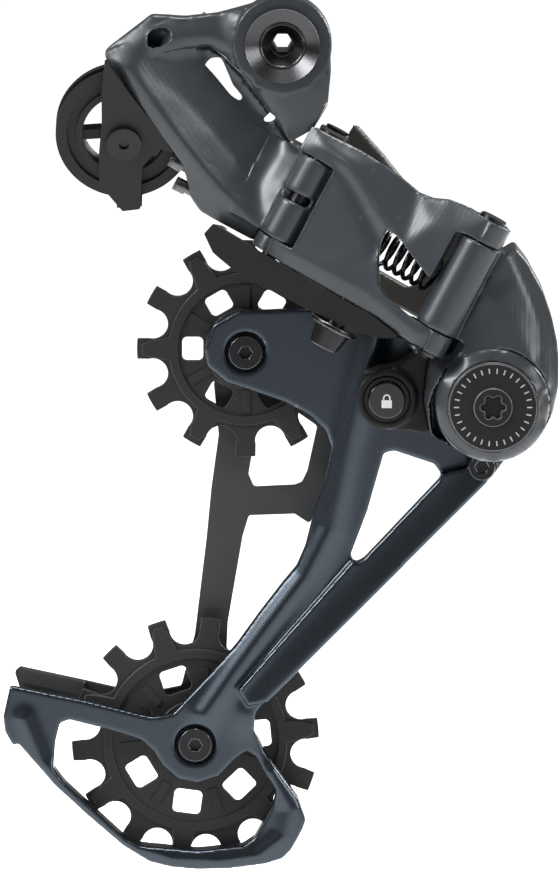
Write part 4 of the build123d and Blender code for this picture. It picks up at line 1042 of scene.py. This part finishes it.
@dataclass
class Cage:
    """The two cage plates with everything fixed to them."""

    rib: Ridge = Ridge(((24.1, -73.0), (21.3, -84.2), (19.0, -93.6), (16.8, -102.9), (15.0, -112.0),
                             (12.4, -124.8), (6.0, -137.5), (-3.1, -149.6), (-12.0, -161.8),
                             (-19.6, -172.9)), 3.1, 2.1)
    guard: Ridge = Ridge(((-66.0, -174.0), (-61.5, -185.0), (-52.0, -194.5), (-44.0, -201.5), (-37.0, -207.5),
                               (-28.0, -210.3), (-16.0, -210.8), (-6.0, -209.4), (0.5, -204.5), (2.2, -197.5),
                               (-3.0, -188.0)), 2.2, 1.0)
    strut: Ridge = Ridge(((55.0, -110.6), (-8.0, -173.0)), 5.0, 1.2)

    def build(self) -> None:
        """Make every piece of the sub-assembly."""
        Casting("outer_cage_plate", "cage", CAGE_ANODISED, side_place(),
                ridges=(self.rib, self.guard, self.strut), voxel=0.41).build()
        Edged("inner_cage_edged", ["inner_cage_plate"], "cage", INNER_COAT, 0.3).build()
        Edged("cage_stop_edged", ["cage_stop_screw"], "cage", BLACK_STEEL, 0.15).build()
        for level in ("upper", "lower"):
            Edged(level + "_bolt_edged", [level + "_pulley_bolt"], "cage", BLACK_STEEL, 0.15).build()


@dataclass
class Pulley:
    """A toothed pulley, moulded round its bearing."""

    level: str
    holes: int
    hole_radius: float
    first_angle: float
    rib_size: Point = (6.0, 2.2, 0.9)
    web_front: float = 11.3

    def build(self, rings: RingTree) -> None:
        """Make the pulley's piece and its moulded ribs.

        Args:
            rings: The tree that sets the ribs between the holes.
        """
        name = self.level + "_pulley"
        Edged(name + "_moulded", [name], name, PULLEY_NYLON, 0.3).build()
        low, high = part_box(name)
        centre = Vector(((low[0] + high[0]) / 2 / MM, self.web_front, (low[2] + high[2]) / 2 / MM))
        turn = self.first_angle + 180 / self.holes
        ribs = rings.bake(name + "_ribs", PULLEY_NYLON, stand(centre, -INBOARD, turn), Count=self.holes,
                          Radius=self.hole_radius, Size=self.rib_size, Seed=3)
        settle(ribs, name, [])


@dataclass
class Hardware:
    """The CAD nodes that are shown as they are, by finish."""

    finishes: dict[str, Finish] = field(default_factory=lambda: {
        "grey_paint": CAST_PAINT, "link_alloy": LINK_ALLOY, "black_composite": BLACK_NYLON,
        "cap_charcoal": CAP_CHARCOAL, "button_gloss": BUTTON_GLOSS, "cage_blueblack": CAGE_ANODISED,
        "inner_cage_steel": INNER_COAT, "pulley_nylon": PULLEY_NYLON, "dark_bolt": BLACK_STEEL,
        "gunmetal_bolt": GUNMETAL, "bright_steel": BRIGHT_STEEL, "bush_bronze": BRONZE,
        "seal_rubber": SEAL_RUBBER})
    slots: dict[str, str] = field(default_factory=lambda: {
        "hanger_bush": "bush_bronze", "cable_wheel_axle": "dark_bolt", "bolt_circlip": "dark_bolt",
        "cable_wheel_bush": "bush_bronze", "outer_link_pins": "dark_bolt", "outer_pin_clips": "gunmetal_bolt",
        "inner_link_pins": "dark_bolt", "clutch_ring": "bright_steel", "clutch_rollers": "bright_steel",
        "pivot_bush": "bush_bronze", "dust_seal": "seal_rubber", "lock_collar": "dark_bolt",
        "cage_axle": "bright_steel", "clutch_hub": "bright_steel"})

    def dress(self) -> None:
        """Give every CAD node its finish."""
        for name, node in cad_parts.items():
            finish = self.finishes[self.slots.get(name, "dark_bolt")]
            if "spring" in name:
                finish = SPRING_STEEL
            if "bearing" in name or "sleeve" in name:
                finish = BRIGHT_STEEL
            node.data.materials.clear()
            node.data.materials.append(finish.material())


@dataclass
class Studio:
    """Floor, lights, sky and the camera."""

    aim: Point = (-0.85, -13.0, -99.75)
    distance: float = 2500.0
    elevation: float = 7.0
    picture_height: float = 221.8
    floor_glow: float = 0.88
    front_glow: float = 0.10
    floor_half: float = 6.0
    floor_height: float = -0.32
    glow_from: float = -0.4
    glow_to: float = 0.6
    sky_strength: float = 0.12

    def build(self) -> None:
        """Set up the whole studio."""
        self._floor()
        self._lights()
        self._camera()

    def _floor(self) -> None:
        """A wide pale floor below the object that glows towards the back."""
        sheet = bmesh.new()
        half = self.floor_half
        corners = [sheet.verts.new((x, y, self.floor_height))
                   for x, y in ((-half, -half), (half, -half), (half, half), (-half, half))]
        sheet.faces.new(corners)
        pale = bpy.data.materials.new("pale_floor")
        pale.use_nodes = True
        shader = pale.node_tree.nodes["Principled BSDF"]
        shader.inputs["Base Color"].default_value = (0.9, 0.9, 0.9, 1.0)
        shader.inputs["Roughness"].default_value = 0.8
        shader.inputs["Emission Color"].default_value = (1.0, 1.0, 1.0, 1.0)
        place = pale.node_tree.nodes.new("ShaderNodeTexCoord")
        split = pale.node_tree.nodes.new("ShaderNodeSeparateXYZ")
        fade = pale.node_tree.nodes.new("ShaderNodeMapRange")
        fade.inputs["From Min"].default_value = self.glow_from
        fade.inputs["From Max"].default_value = self.glow_to
        fade.inputs["To Min"].default_value = self.front_glow
        fade.inputs["To Max"].default_value = self.floor_glow
        pale.node_tree.links.new(place.outputs["Object"], split.inputs["Vector"])
        pale.node_tree.links.new(split.outputs["Y"], fade.inputs["Value"])
        pale.node_tree.links.new(fade.outputs["Result"], shader.inputs["Emission Strength"])
        mesh = bpy.data.meshes.new("pale_floor")
        sheet.to_mesh(mesh)
        sheet.free()
        mesh.shade_smooth()
        mesh.materials.append(pale)
        floor = bpy.data.objects.new("pale_floor", mesh)
        bpy.context.scene.collection.objects.link(floor)

    def _light(self, name: str, at: Point, size: float, watts: float) -> None:
        """A soft square light aimed at the object.

        Args:
            name: The light's name.
            at: Its position in metres.
            size: Its side in metres.
            watts: Its power.
        """
        data = bpy.data.lights.new(name, "AREA")
        data.size = size
        data.energy = watts
        lamp = bpy.data.objects.new(name, data)
        lamp.location = at
        target = Vector(self.aim) * MM
        lamp.rotation_euler = (target - Vector(at)).to_track_quat("-Z", "Y").to_euler()
        bpy.context.scene.collection.objects.link(lamp)

    def _lights(self) -> None:
        """Soft lights round the object and an even pale sky."""
        self._light("key", (-1.25, -0.75, 0.95), 0.7, 36.0)
        self._light("fill", (1.4, -0.8, 0.3), 0.6, 10.0)
        self._light("top", (0.1, -0.3, 1.5), 0.6, 26.0)
        self._light("rim", (0.9, 0.9, 0.4), 0.5, 14.0)
        world = bpy.data.worlds.new("pale_sky")
        world.use_nodes = True
        world.node_tree.nodes["Background"].inputs["Color"].default_value = (1.0, 1.0, 1.0, 1.0)
        world.node_tree.nodes["Background"].inputs["Strength"].default_value = self.sky_strength
        bpy.context.scene.world = world
        bpy.context.scene.view_settings.view_transform = "Standard"

    def _camera(self) -> None:
        """The camera, a little above the object and square to its outboard side."""
        data = bpy.data.cameras.new("camera")
        data.sensor_fit = "VERTICAL"
        data.sensor_height = 36.0
        data.lens = 36.0 * self.distance / self.picture_height
        data.clip_end = 20.0
        camera = bpy.data.objects.new("camera", data)
        tilt = math.radians(self.elevation)
        back = Vector((0.0, -math.cos(tilt), math.sin(tilt))) * self.distance
        camera.location = (Vector(self.aim) + back) * MM
        camera.rotation_euler = (math.radians(90.0 - self.elevation), 0.0, 0.0)
        bpy.context.scene.collection.objects.link(camera)
        bpy.context.scene.camera = camera


def main() -> None:
    """Build the derailleur's pieces in order and set the scene."""
    logging.basicConfig(level=logging.INFO, format="%(message)s")
    coils = CoilTree()
    rings = RingTree()
    Hardware().dress()
    BKnuckle().build()
    Linkage().build()
    PKnuckle().build(coils, rings)
    Cage().build()
    Pulley("upper", 6, 13.5, 0.0).build(rings)
    Pulley("lower", 7, 16.2, 5.5).build(rings)
    Studio().build()


if __name__ == "__main__":
    main()
